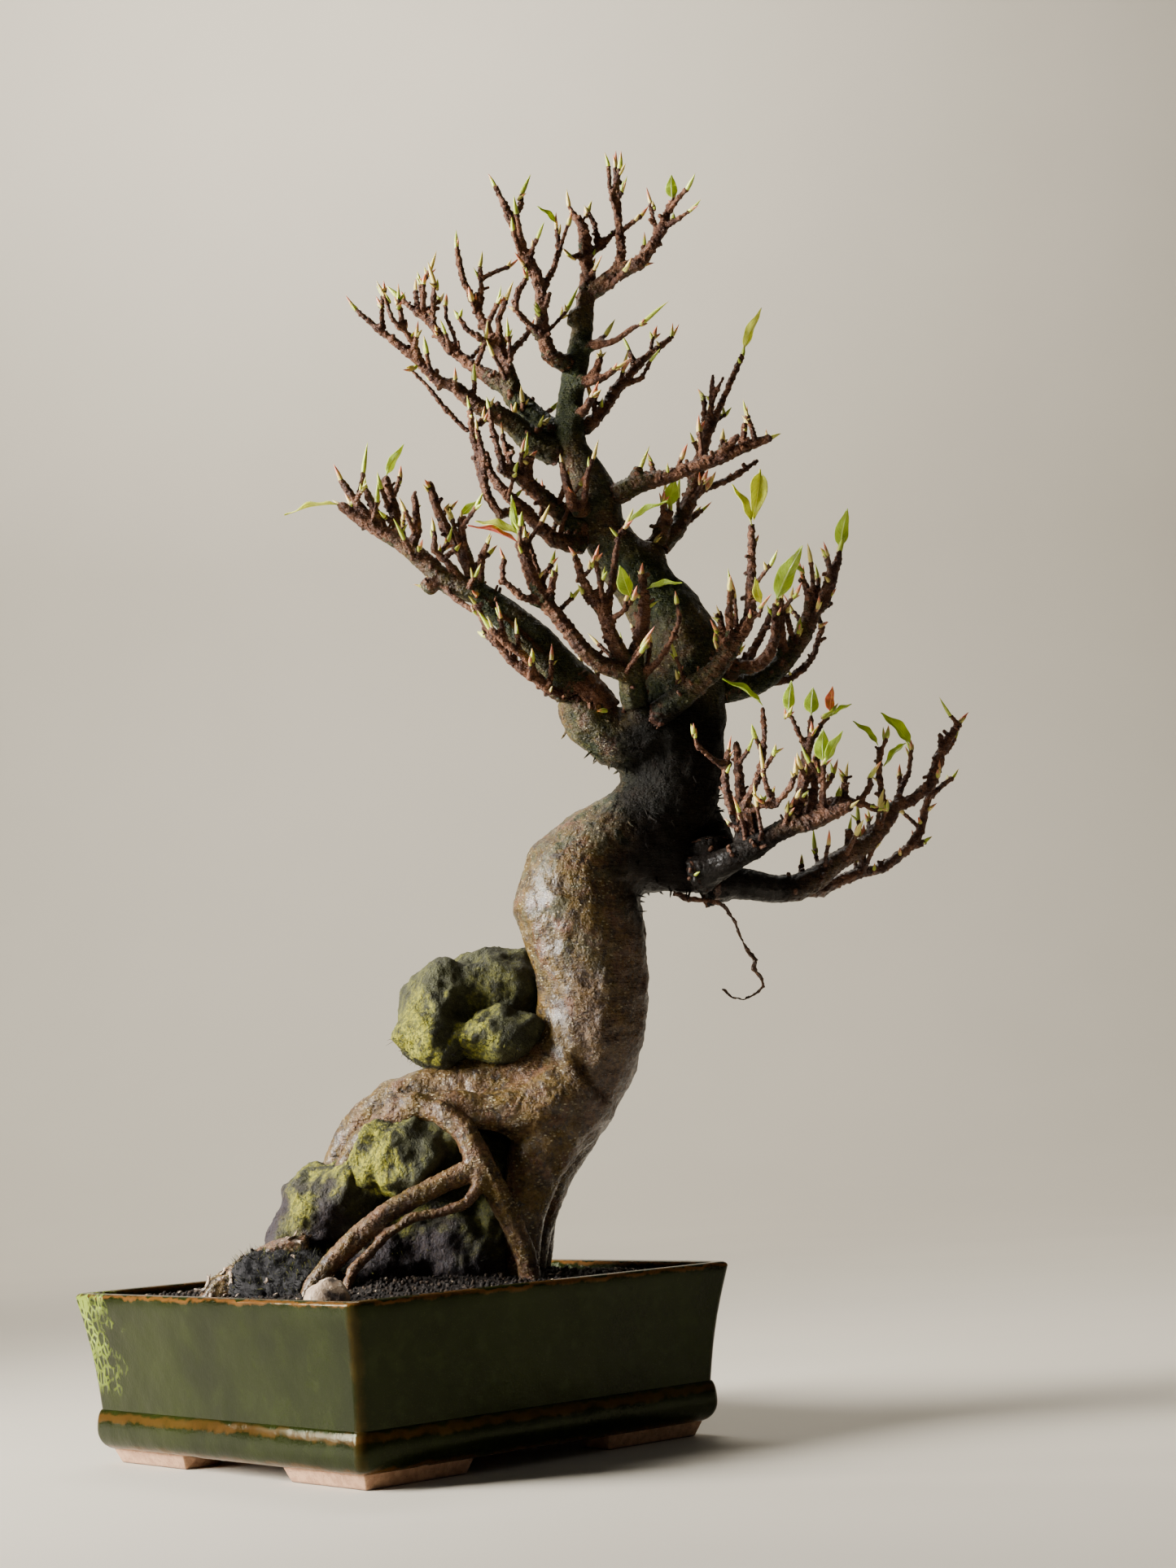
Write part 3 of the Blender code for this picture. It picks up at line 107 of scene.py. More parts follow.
class BonsaiWood(bpy.types.PropertyGroup):
    """Sizes and colours of the bark."""

    trunk_cell: length("Trunk cell", "Mesh size on the trunk", 0.00135)
    twig_cell: length("Twig cell", "Mesh size on branches and twigs", 0.0008)
    swell: length("Swell", "How far bark is let out, which closes the joints between branches", 0.00045)
    knuckle: length("Knuckle", "Depth of the swellings along a twig", 0.0012)
    ring: length("Ring", "Height of the scars that ring a twig", 0.00055)
    slim: length("Slim", "How far the thinnest twigs are drawn in", 0.00078)
    golden: colour("Golden bark", "Old bark in the light", (0.132, 0.078, 0.014))
    tan: colour("Tan bark", "Darker patches of old bark", (0.034, 0.018, 0.006))
    silver: colour("Silver flecks", "Pale flecks in rows on old bark", (0.46, 0.38, 0.22))
    umber: colour("Umber", "Bark in cracks and hollows", (0.030, 0.020, 0.014))
    algae: colour("Algae", "Dark green-grey growth on shaded old wood", (0.018, 0.023, 0.011))
    shoot: colour("Shoot", "Skin of young wood", (0.062, 0.025, 0.015))
    shoot_pale: colour("Pale shoot", "Skin of this year's wood", (0.190, 0.085, 0.046))


class BonsaiBuds(bpy.types.PropertyGroup):
    """Buds, young leaves and rootlets."""

    bud: length("Bud length", "Length of a shoot's pointed bud", 0.0095)
    side_shoots: amount("Side shoots", "Short shoots along the twigs", 190)
    spurs: amount("Spurs", "Stubs along the twigs", 420)
    lime: colour("Lime", "Bud's lower half", (0.50, 0.60, 0.070))
    cream: colour("Cream", "Scale of a bud that hasn't greened", (0.74, 0.60, 0.19))
    blush: colour("Blush", "Tip of a bud", (0.66, 0.22, 0.12))
    leaf: colour("Leaf", "Grown leaf", (0.330, 0.480, 0.030))
    young_leaf: colour("Young leaf", "Leaf that has just opened", (0.62, 0.68, 0.080))
    red_leaf: colour("Red leaf", "Rolled leaf, before it greens", (0.62, 0.085, 0.060))


class BonsaiStone(bpy.types.PropertyGroup):
    """Stones, soil and moss."""

    stone_cell: length("Stone cell", "Mesh size on a stone", 0.0014)
    crag: length("Crag", "Depth of a stone's crags", 0.0055)
    stone: colour("Stone", "Bare stone", (0.052, 0.053, 0.022))
    lichen: colour("Lichen", "Yellow-green lichen on a stone's lit side", (0.31, 0.29, 0.022))
    stain: colour("Stain", "Dark stain at the soil", (0.024, 0.018, 0.022))
    knuckle: colour("Pale knuckle", "The lone lump by the rim", (0.40, 0.28, 0.18))
    soil: colour("Soil", "Damp bonsai soil", (0.0080, 0.0062, 0.0052))
    grit: colour("Grit", "Pale grains among the soil", (0.30, 0.24, 0.17))
    grains: amount("Grains", "Loose grains on the soil", 4200)
    strands: amount("Strands", "Strands of moss", 3600)


class BonsaiPot(bpy.types.PropertyGroup):
    """Sizes and colours of the pot."""

    foot_height: length("Foot height", "Height of the feet", 0.008)
    neck_height: length("Neck height", "Where the wall leaves the moulding", 0.0295)
    bulge_height: length("Bulge height", "The widest height of the moulding", 0.0185)
    neck_inset: length("Neck inset", "Neck in from the rim's edge", 0.0092)
    bulge_inset: length("Bulge inset", "Moulding in from the rim's edge", 0.007)
    base_inset: length("Base inset", "Underside in from the rim's edge", 0.014)
    foot_inset: length("Foot inset", "Foot's resting edge in from the rim's edge", 0.018)
    foot_width: length("Foot width", "Width of a foot's two arms", 0.022)
    foot_gap: length("Foot gap", "Gap between two feet at the floor", 0.097)
    wall: length("Wall", "Thickness of the wall", 0.0075)
    floor: length("Floor", "Thickness of the floor", 0.009)
    rim_round: length("Rim round", "Round of the rim's edges", 0.0024)
    corner: length("Corner", "Round of the pot's upright edges", 0.0052)
    drain: length("Drain", "Radius of a drainage hole", 0.009)
    drain_spacing: length("Drain spacing", "Distance between the drainage holes", 0.090)
    olive: colour("Olive", "Thick glaze", (0.0046, 0.0064, 0.0010))
    moss_green: colour("Moss green", "Thinner glaze", (0.0100, 0.0138, 0.0018))
    amber: colour("Amber", "Glaze broken over an edge", (0.23, 0.085, 0.022))
    oil_spot: colour("Oil spot", "Yellow-green cells in the glaze", (0.165, 0.215, 0.022))
    clay: colour("Clay", "Bare fired clay", (0.46, 0.27, 0.155))


class BonsaiStage(bpy.types.PropertyGroup):
    """Floor, lights and camera."""

    floor: colour("Floor", "Floor and backdrop", (0.56, 0.515, 0.435))
    window: power("Window", "Power of the window light", 41)
    glint: power("Glint", "Power of the light seen only in gloss", 36)
    wash: power("Wash", "Power of the backdrop's light", 120)
    fill: power("Fill", "Power of the soft fill light", 0.8)
    sky: FloatProperty(name="Sky", description="Strength of the light all round", default=0.07, min=0)
    lens: FloatProperty(name="Lens", description="Focal length", default=61.65, unit="CAMERA")


SETTINGS = {
    "bonsai_wood": BonsaiWood,
    "bonsai_buds": BonsaiBuds,
    "bonsai_stone": BonsaiStone,
    "bonsai_pot": BonsaiPot,
    "bonsai_stage": BonsaiStage,
}


# ---- Working with objects ------------------------------------------------------------------------


def use(*objs):
    """Makes these objects the selection, and the first one active."""
    bpy.ops.object.select_all(action="DESELECT")
    for obj in objs:
        obj.select_set(True)
    bpy.context.view_layer.objects.active = objs[0]


def apply_modifier(obj, kind, **values):
    """Adds a modifier with these values and applies it."""
    use(obj)
    modifier = obj.modifiers.new(kind.lower(), kind)
    for name, value in values.items():
        setattr(modifier, name, value)
    bpy.ops.object.modifier_apply(modifier=modifier.name)


def copy_of(name, *nodes):
    """One new object that holds merged copies of these CAD nodes' meshes."""
    copies = []
    for node in nodes:
        obj = bpy.data.objects.new(name, NODES[node].data.copy())
        obj.matrix_world = NODES[node].matrix_world
        bpy.context.scene.collection.objects.link(obj)
        copies.append(obj)
    use(*copies)
    if len(copies) > 1:
        bpy.ops.object.join()
    piece = copies[0]
    bpy.ops.object.transform_apply(location=True, rotation=True, scale=True)
    bpy.ops.object.mode_set(mode="EDIT")
    bpy.ops.mesh.select_all(action="SELECT")
    bpy.ops.mesh.remove_doubles(threshold=0.00001)
    bpy.ops.object.mode_set(mode="OBJECT")
    piece.data.materials.clear()
    return piece


def lumps(size, kind):
    """A procedural texture whose lumps are about that size, for displacing."""
    name = f"{kind.lower()}_{round(size * 1e5)}"
    texture = bpy.data.textures.get(name) or bpy.data.textures.new(name, kind)
    texture.noise_scale = size
    if kind == "CLOUDS":
        texture.noise_depth = 2
    return texture


def displace(obj, depth, size=None, group="", kind="CLOUDS", middle=0.5):
    """Pushes a mesh in and out by that depth, in lumps of that size, or straight out with no size."""
    values = {"strength": depth, "mid_level": middle, "vertex_group": group, "texture_coords": "LOCAL"}
    if size is None:
        values["mid_level"] = 0.0
    else:
        values["texture"] = lumps(size, kind)
    apply_modifier(obj, "DISPLACE", **values)


def smooth(obj, turns, group=""):
    apply_modifier(obj, "SMOOTH", factor=0.5, iterations=turns, vertex_group=group)


def store(obj, name, values):
    """Keeps a number for each point of the mesh as an attribute that a material reads."""
    layer = obj.data.attributes.new(name, "FLOAT", "POINT")
    layer.data.foreach_set("value", np.asarray(values, np.float32))


def weigh(obj, name, weights):
    """Keeps a weight for each point as a vertex group that a modifier reads."""
    group = obj.vertex_groups.new(name=name)
    for index, weight in enumerate(weights):
        if weight > 0:
            group.add((index,), float(weight), "REPLACE")


def points_of(obj):
    flat = np.empty(len(obj.data.vertices) * 3, np.float32)
    obj.data.vertices.foreach_get("co", flat)
    return flat.reshape(-1, 3)


def normals_of(obj):
    flat = np.empty(len(obj.data.vertices) * 3, np.float32)
    obj.data.vertex_normals.foreach_get("vector", flat)
    return flat.reshape(-1, 3)


def girth_of(obj):
    """The wood's thickness under each point, measured straight through."""
    faces = [tuple(face.vertices) for face in obj.data.polygons]
    tree = BVHTree.FromPolygons([vert.co for vert in obj.data.vertices], faces)
    points, normals = points_of(obj), normals_of(obj)
    start = points - normals * 1e-4
    girths = np.empty(len(points))
    for index in range(len(points)):
        hit = tree.ray_cast(Vector(start[index]), Vector(-normals[index]))
        girths[index] = hit[3] if hit[3] else 0.004
    return girths


def soft_step(values, low, high):
    t = np.clip((np.asarray(values, float) - low) / (high - low), 0, 1)
    return t * t * (3 - 2 * t)


def deliver(piece, material, slot, *nodes):
    """Gives the piece its material, hangs it under the root body's empty and hides the CAD nodes that it
    stands in for.
    """
    piece.data.materials.clear()
    piece.data.materials.append(material)
    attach(piece, BODY)
    if nodes:
        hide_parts(*nodes)
    bpy.ops.object.select_all(action="DESELECT")
    return piece


class Crop:
    """Many small copies of one template: a matrix and a tone for each, and at the end one mesh."""

    def __init__(self, rng):
        self.rng = rng
        self.places = []
        self.tones = []

    def add(self, place, way, size, tone=None):
        """Stands a copy at place along way, scaled by size, with a random roll and, unless given, tone."""
        turn = way.to_track_quat("Z", "Y").to_matrix().to_4x4()
        turn @= Matrix.Rotation(self.rng.uniform(0, ROUND), 4, "Z")
        self.places.append(Matrix.Translation(place) @ turn @ Matrix.Diagonal((*size, 1)))
        self.tones.append(self.rng.random() if tone is None else tone)

    def gather(self, name, template, girth=None):
        """Joins the copies into one object. A girth tells the bark how thick the wood is."""
        base = points_of(template)
        along = (base[:, 2] - base[:, 2].min()) / max(1e-9, base[:, 2].max() - base[:, 2].min())
        faces = [tuple(p.vertices) for p in template.data.polygons]
        verts, polygons = [], []
        for count, place in enumerate(self.places):
            matrix = np.array(place)
            verts.append(base @ matrix[:3, :3].T + matrix[:3, 3])
            polygons.extend(tuple(i + count * len(base) for i in face) for face in faces)
        mesh = bpy.data.meshes.new(name)
        mesh.from_pydata(np.concatenate(verts).tolist(), [], polygons)
        mesh.shade_smooth()
        obj = bpy.data.objects.new(name, mesh)
        bpy.context.scene.collection.objects.link(obj)
        store(obj, "tone", np.repeat(self.tones, len(base)))
        store(obj, "along", np.tile(along, len(self.places)))
        if girth:
            store(obj, "girth", np.full(len(mesh.vertices), girth))
        bpy.data.objects.remove(template)
        return obj


def tree_place(x, y, z):
    """A point in the tree's own frame, in millimetres from the pot's middle and the floor, in the row's."""
    return TREE_TURN @ Vector((x, y, z)) / 1000 + Vector((POT_MIDDLE.x, POT_MIDDLE.y, 0))


# ---- Shoots: where the CAD's twigs end -----------------------------------------------------------


def reach_along(points, edges, root):
    """How far each point lies from the one nearest root, measured along the edges."""
    lengths = np.linalg.norm(points[edges[:, 0]] - points[edges[:, 1]], axis=1)
    beside = [[] for _ in points]
    for (a, b), long in zip(edges.tolist(), lengths.tolist()):
        beside[a].append((b, long))
        beside[b].append((a, long))
    first = int(np.argmin(np.linalg.norm(points - np.array(root), axis=1)))
    reach = [math.inf] * len(points)
    reach[first] = 0.0
    queue = [(0.0, first)]
    while queue:
        here, index = heapq.heappop(queue)
        if here > reach[index]:
            continue
        for other, long in beside[index]:
            if here + long < reach[other]:
                reach[other] = here + long
                heapq.heappush(queue, (here + long, other))
    return reach


def shoot_ends(node, root):
    """(place, way) of each twig's end on a CAD node: where the path along the wood from root is longest."""
    bm = bmesh.new()
    bm.from_mesh(NODES[node].data)
    bmesh.ops.remove_doubles(bm, verts=bm.verts, dist=0.00001)
    bm.verts.ensure_lookup_table()
    edges = np.array([[v.index for v in edge.verts] for edge in bm.edges])
    far = reach_along(np.array([v.co for v in bm.verts]), edges, root)
    tops = [
        v for v in bm.verts
        if far[v.index] < math.inf and all(far[e.other_vert(v).index] <= far[v.index] for e in v.link_edges)
    ]
    ends = []
    for top in sorted(tops, key=lambda v: -far[v.index]):
        if any((top.co - place).length < 0.005 for place, _ in ends):
            continue
        close = [v for v in bm.verts if (v.co - top.co).length < 0.016]
        short = {v: far[top.index] - far[v.index] for v in close}
        cap = [v.co for v in close if (v.co - top.co).length < 0.006 and short[v] < 0.004]
        back = [v.co for v in close if 0.007 < short[v] < 0.022]
        if len(cap) < 3 or len(back) < 3:
            continue
        place = sum(cap, Vector()) / len(cap)
        width = max((co - place).length for co in cap)
        way = place - sum(back, Vector()) / len(back)
        if width < 0.0045 and way.length > 0.004:
            ends.append((place, way.normalized()))
    bm.free()
    return ends


def root_of(node):
    """The point of a branch that lies nearest the trunk."""
    return min((v.co for v in NODES[node].data.vertices), key=lambda co: TRUNK_POINTS.find(co)[2]).copy()


def trunk_points():
    tree = KDTree(len(NODES["trunk"].data.vertices))
    for index, vert in enumerate(NODES["trunk"].data.vertices):
        tree.insert(vert.co, index)
    tree.balance()
    return tree


TRUNK_POINTS = trunk_points()
SHOOT_ENDS = [end for end in shoot_ends("trunk", tree_place(70, 0, 60)) if end[0].z > RIM + 0.24]
SHOOT_ENDS += [end for node in BRANCHES for end in shoot_ends(node, root_of(node))]
SIDE_SHOOT_ENDS = []


# ---- Materials -----------------------------------------------------------------------------------


class Paint:
    """A material's node tree, built up one node at a time. Each method returns the node's output."""

    def __init__(self, name):
        self.material = bpy.data.materials.new(name)
        self.material.use_nodes = True
        self.tree = self.material.node_tree
        self.shader = self.tree.nodes["Principled BSDF"]
        self.place = self.add("ShaderNodeTexCoord").outputs["Object"]

    def add(self, kind, links=None, **values):
        node = self.tree.nodes.new(kind)
        for name, value in values.items():
            setattr(node, name, value)
        for name, value in (links or {}).items():
            if isinstance(value, bpy.types.NodeSocket):
                self.tree.links.new(value, node.inputs[name])
            else:
                node.inputs[name].default_value = value
        return node

    def noise(self, scale, detail=4, rough=0.55, place=None, warp=0.0):
        links = {"Vector": place or self.place, "Scale": scale, "Detail": detail, "Roughness": rough}
        links["Distortion"] = warp
        return self.add("ShaderNodeTexNoise", links).outputs[0]

    def cells(self, scale, feature="F1", place=None):
        links = {"Vector": place or self.place, "Scale": scale}
        return self.add("ShaderNodeTexVoronoi", links, feature=feature).outputs["Distance"]

    def stretched(self, *scale):
        return self.add("ShaderNodeMapping", {"Vector": self.place, "Scale": scale}).outputs[0]

    def shifted(self, *location):
        return self.add("ShaderNodeMapping", {"Vector": self.place, "Location": location}).outputs[0]

    def turned(self):
        """Object coordinates in the tree's own frame, from the pot's middle, with X to the tree's right."""
        back = TREE_TURN.inverted() @ Vector((POT_MIDDLE.x, POT_MIDDLE.y, 0))
        links = {"Vector": self.place, "Rotation": (0, 0, math.radians(42)), "Location": -back}
        return self.add("ShaderNodeMapping", links).outputs[0]

    def axes(self, place=None):
        return self.add("ShaderNodeSeparateXYZ", {"Vector": place or self.place}).outputs

    def distance(self, place, to):
        return self.add("ShaderNodeVectorMath", {0: place, 1: to}, operation="DISTANCE").outputs["Value"]

    def attribute(self, name):
        return self.add("ShaderNodeAttribute", attribute_name=name).outputs["Fac"]

    def span(self, value, low, high, start=0.0, end=1.0):
        links = {"Value": value, "From Min": low, "From Max": high, "To Min": start, "To Max": end}
        return self.add("ShaderNodeMapRange", links, interpolation_type="SMOOTHSTEP").outputs[0]

    def sum(self, operation, a, b=0.0):
        return self.add("ShaderNodeMath", {0: a, 1: b}, operation=operation).outputs[0]

    def times(self, *values):
        product = values[0]
        for value in values[1:]:
            product = self.sum("MULTIPLY", product, value)
        return product

    def mix(self, share, a, b):
        return self.add("ShaderNodeMix", {0: share, 6: a, 7: b}, data_type="RGBA").outputs[2]

    def bump(self, height, depth, under=None):
        links = {"Height": height, "Distance": depth, "Strength": 1.0}
        if under:
            links["Normal"] = under
        return self.add("ShaderNodeBump", links).outputs[0]

    def finish(self, **values):
        for name, value in values.items():
            socket = self.shader.inputs[name.replace("_", " ").title().replace("Ior", "IOR")]
            if isinstance(value, bpy.types.NodeSocket):
                self.tree.links.new(value, socket)
            else:
                socket.default_value = value
        return self.material


def settings(name):
    return getattr(bpy.context.scene, "bonsai_" + name)


def old_bark(p, s, rows, middle, fine):
    """Tan and golden patches with a russet cast, pale flecks in rows and dark pits."""
    height = p.axes()[2]
    old = p.mix(p.span(middle, 0.34, 0.66), s.tan, s.golden)
    russet = p.times(p.span(p.noise(38, 4, 0.6, warp=1.0), 0.50, 0.62), 0.75)
    old = p.mix(russet, old, (0.125, 0.052, 0.026, 1))
    greenish = p.times(p.span(p.noise(55, 4, 0.65, warp=0.8), 0.50, 0.60), p.span(height, 0.22, 0.29))
    old = p.mix(p.times(greenish, 0.7), old, (0.070, 0.072, 0.040, 1))
    old = p.mix(p.times(p.span(fine, 0.52, 0.66), 0.42), old, (0.240, 0.165, 0.050, 1))
    flecks = p.times(p.span(rows, 0.34, 0.16), p.span(p.noise(80, 3), 0.42, 0.56))
    old = p.mix(flecks, old, s.silver)
    pits = p.span(p.noise(240, 3, 0.6), 0.56, 0.64)
    return p.mix(p.times(pits, 0.9), old, s.umber)


def low_bark(p, old, broad, fine):
    """Redder bark towards the soil and rosy on the roots, with painted shade: a darker red-brown copy of the
    low bark on the side away from the light, low down and up to the burl's height.
    """
    height = p.axes()[2]
    right = p.axes(p.turned())[0]
    low = p.span(p.sum("ADD", height, p.span(broad, 0.3, 0.7, -0.03, 0.03)), 0.275, 0.175)
    # The dark red-brown mix below is painted shade: a darker copy of the redder low bark, laid on the side
    # away from the window.
    painted_shade_bark = p.mix(p.span(fine, 0.4, 0.62), (0.034, 0.015, 0.009, 1), (0.120, 0.062, 0.032, 1))
    old = p.mix(p.times(low, p.span(right, 0.088, 0.118), 0.9), old, painted_shade_bark)
    rosy = p.mix(p.span(fine, 0.4, 0.62), (0.095, 0.043, 0.019, 1), (0.240, 0.138, 0.058, 1))
    patches = p.span(p.noise(48, 4, 0.6, warp=0.8), 0.46, 0.60)
    old = p.mix(p.times(low, p.span(right, 0.095, 0.065), patches, 0.8), old, rosy)
    # Painted shade up the side away from the window, as high as the burl.
    damp_and_painted_shade = p.times(p.span(right, 0.112, 0.150), p.span(height, 0.36, 0.31))
    return p.mix(p.times(damp_and_painted_shade, 0.8), old, painted_shade_bark)


def algae(p, s, fine):
    """Dark green growth with olive and pale specks."""
    mossy = p.mix(p.span(fine, 0.45, 0.66), s.algae, (0.044, 0.050, 0.013, 1))
    return p.mix(p.span(p.noise(600, 2), 0.62, 0.72), mossy, (0.110, 0.105, 0.040, 1))


def young_bark(p, s):
    """Red-brown skin with pale pores and dark cracks."""
    young = p.mix(p.span(p.noise(150, 3), 0.38, 0.62), s.shoot, s.shoot_pale)
    young = p.mix(p.times(p.span(p.cells(760), 0.24, 0.12), 0.3), young, (0.28, 0.16, 0.09, 1))
    return p.mix(p.span(p.noise(330, 4, 0.65), 0.56, 0.68), young, (0.030, 0.016, 0.012, 1))


def burl_and_painted_shade_share(p):
    """One in the burl and in the wood just over it, with a ragged edge: the burl's own dark wood, painted
    still darker as shade, for it lies on the side away from the window.
    """
    ragged = p.add("ShaderNodeTexNoise", {"Vector": p.place, "Scale": 45.0}).outputs["Color"]
    warped = p.add("ShaderNodeMixRGB", {0: 0.04, 1: p.place, 2: ragged}).outputs[0]
    offset = Vector((0.02, 0.02, 0.02))
    burl = p.span(p.distance(warped, tree_place(*BURL) * 0.96 + offset), 0.072, 0.044)
    over = p.span(p.distance(warped, tree_place(*OVER_BURL) * 0.96 + offset), 0.058, 0.030)
    return p.sum("MAXIMUM", burl, over)


def bark_material():
    """Golden bark with pale flecks low down, painted shade on the side away from the light, algae higher up,
    a black burl that is partly painted shade, and red-brown young wood.
    """
    s = settings("wood")
    p = Paint("bark")
    girth = p.attribute("girth")
    height = p.axes()[2]
    broad, middle, fine = p.noise(21, 3), p.noise(90, 5, 0.6, warp=0.5), p.noise(440, 4, 0.65)
    rows = p.cells(330, place=p.stretched(1, 1, 1.7))
    old = low_bark(p, old_bark(p, s, rows, middle, fine), broad, fine)
    edge = p.sum("ADD", height, p.span(middle, 0.25, 0.75, -0.075, 0.075))
    shade = p.times(p.span(edge, 0.335, 0.385), p.span(broad, 0.36, 0.58, 0.30, 1.0))
    old = p.mix(shade, old, algae(p, s, fine))
    youth = p.span(p.sum("ADD", girth, p.span(middle, 0.3, 0.7, -0.0015, 0.0015)), 0.0130, 0.0075)
    base = p.mix(p.times(youth, p.span(height, 0.26, 0.30, 0.35, 1.0)), old, young_bark(p, s))
    # Near black over the burl: its own dark wood, deepened by painted shade on the side away from the window.
    dark = p.times(burl_and_painted_shade_share(p), p.span(girth, 0.004, 0.008))
    base = p.mix(p.times(dark, 0.96), base, (0.0060, 0.0050, 0.0042, 1))
    # Wrinkles lie across the trunk, and small knobs cover all of it.
    relief = p.bump(p.noise(110, 4, 0.6, place=p.stretched(0.6, 0.6, 4.5), warp=0.3), 0.0024)
    relief = p.bump(middle, 0.0030, relief)
    relief = p.bump(p.span(rows, 0.36, 0.10), 0.0006, relief)
    relief = p.bump(fine, 0.0016, relief)
    gloss = p.sum("ADD", p.span(p.noise(210, 3), 0.35, 0.65, 0.27, 0.48), p.times(dark, 0.2))
    sheen = p.span(p.sum("MAXIMUM", dark, p.times(shade, 0.6)), 0, 1, 0.22, 0.06)
    wet = p.times(p.span(p.noise(34, 3), 0.38, 0.60, 0.1, 0.55), p.span(height, 0.33, 0.29))
    return p.finish(
        base_color=base, roughness=gloss, normal=relief, specular_ior_level=sheen,
        coat_weight=wet, coat_roughness=0.22, coat_normal=p.bump(fine, 0.0005),
    )


def bud_material():
    """Yellow-green or cream at its base and flushed at its tip."""
    s = settings("buds")
    p = Paint("bud")
    tone, along = p.attribute("tone"), p.attribute("along")
    base = p.mix(p.span(p.sum("FRACT", p.times(tone, 7.3)), 0.3, 0.8), s.lime, s.cream)
    flush = p.span(p.sum("ADD", along, p.span(tone, 0, 1, -0.55, 0.45)), 0.45, 1.05)
    base = p.mix(flush, base, s.blush)
    base = p.mix(p.span(along, 0.15, 0.02), base, settings("wood").shoot_pale)
    return p.finish(
        base_color=base, roughness=0.36, subsurface_weight=0.3, subsurface_scale=0.002,
        subsurface_radius=(0.8, 0.8, 0.2), normal=p.bump(p.noise(900, 2), 0.0002),
    )


def leaf_material(slot, tint):
    """A glossy blade with a pale midrib and side veins, drawn along the leaf's own UV map."""
    p = Paint(slot)
    uv = p.add("ShaderNodeUVMap", uv_map="UVMap").outputs[0]
    u, v = p.axes(uv)[0], p.axes(uv)[1]
    across = p.sum("ABSOLUTE", p.sum("SUBTRACT", v, 0.5))
    rib = p.span(across, 0.055, 0.015)
    slant = p.sum("SUBTRACT", p.times(u, 11.0), p.times(across, 5.0))
    veins = p.span(p.sum("PINGPONG", slant, 0.5), 0.075, 0.02)
    pale = tuple(min(1.0, c * 1.5 + 0.12) for c in tint[:3]) + (1,)
    deep = tuple(c * 0.72 for c in tint[:3]) + (1,)
    base = p.mix(p.span(p.noise(190, 3), 0.35, 0.65), tint, deep)
    base = p.mix(p.times(veins, 0.35), base, pale)
    base = p.mix(p.times(rib, 0.8), base, pale)
    relief = p.bump(p.sum("MAXIMUM", rib, p.times(veins, 0.5)), 0.0003)
    relief = p.bump(p.noise(700, 2), 0.00015, relief)
    return p.finish(
        base_color=base, roughness=0.30, subsurface_weight=0.35, subsurface_scale=0.003,
        subsurface_radius=(0.9, 0.9, 0.2), normal=relief, specular_ior_level=0.4,
    )


def stone_material():
    """Olive-grey stone with lichen on its lit side, which also paints that side lighter as painted light,
    pits, and a dark stain at the soil.
    """
    s = settings("stone")
    p = Paint("stone")
    height, lit = p.axes()[2], p.attribute("lit")
    broad, middle, fine = p.noise(30, 4), p.noise(105, 5, 0.62), p.noise(520, 4, 0.65)
    base = p.mix(p.span(middle, 0.35, 0.65), (0.028, 0.028, 0.014, 1), s.stone)
    base = p.mix(p.times(p.span(fine, 0.54, 0.72), 0.5), base, (0.130, 0.128, 0.060, 1))
    clump = p.span(p.distance(p.place, tree_place(26, -40, 232)), 0.052, 0.026)
    clump = p.sum("MAXIMUM", clump, p.span(p.distance(p.place, tree_place(-22, -40, 152)), 0.056, 0.024))
    # Yellow-green lichen is real, but it is kept to the side that faces the window light, so it is also
    # painted light there.
    growth = p.span(p.sum("ADD", lit, p.span(broad, 0.3, 0.7, -0.55, 0.45)), 0.15, 0.65)
    growth = p.times(growth, p.sum("ADD", p.times(clump, 0.80), 0.20), p.span(middle, 0.34, 0.52))
    patch = p.mix(p.span(fine, 0.4, 0.62), (0.090, 0.094, 0.012, 1), s.lichen)
    base = p.mix(growth, base, patch)
    damp_and_painted_shade = p.sum("ADD", height, p.span(broad, 0.3, 0.7, -0.028, 0.028))
    plum = p.mix(p.span(fine, 0.42, 0.62), s.stain, (0.036, 0.026, 0.024, 1))
    base = p.mix(p.span(damp_and_painted_shade, 0.142, 0.108), base, plum)
    shadow = p.span(p.axes(p.shifted(*(-tree_place(70, 0, 0))))[0], 0.0, 0.03)
    base = p.mix(p.times(shadow, p.span(height, 0.19, 0.16), 0.75), base, (0.030, 0.028, 0.020, 1))
    base = p.mix(p.times(p.span(p.cells(240), 0.20, 0.08), 0.8), base, (0.020, 0.019, 0.014, 1))
    relief = p.bump(middle, 0.0045)
    relief = p.bump(fine, 0.0016, relief)
    gloss = p.span(fine, 0.3, 0.7, 0.55, 0.85)
    return p.finish(base_color=base, roughness=gloss, normal=relief, specular_ior_level=0.2)


def knuckle_material():
    """The pale lump by the rim, dirty in its pits."""
    s = settings("stone")
    p = Paint("pale_knuckle")
    fine = p.noise(330, 4, 0.65)
    base = p.mix(p.span(p.noise(120, 4), 0.36, 0.60), (0.085, 0.062, 0.050, 1), s.knuckle)
    base = p.mix(p.span(fine, 0.56, 0.68), base, (0.56, 0.48, 0.38, 1))
    return p.finish(base_color=base, roughness=0.7, normal=p.bump(fine, 0.0012))


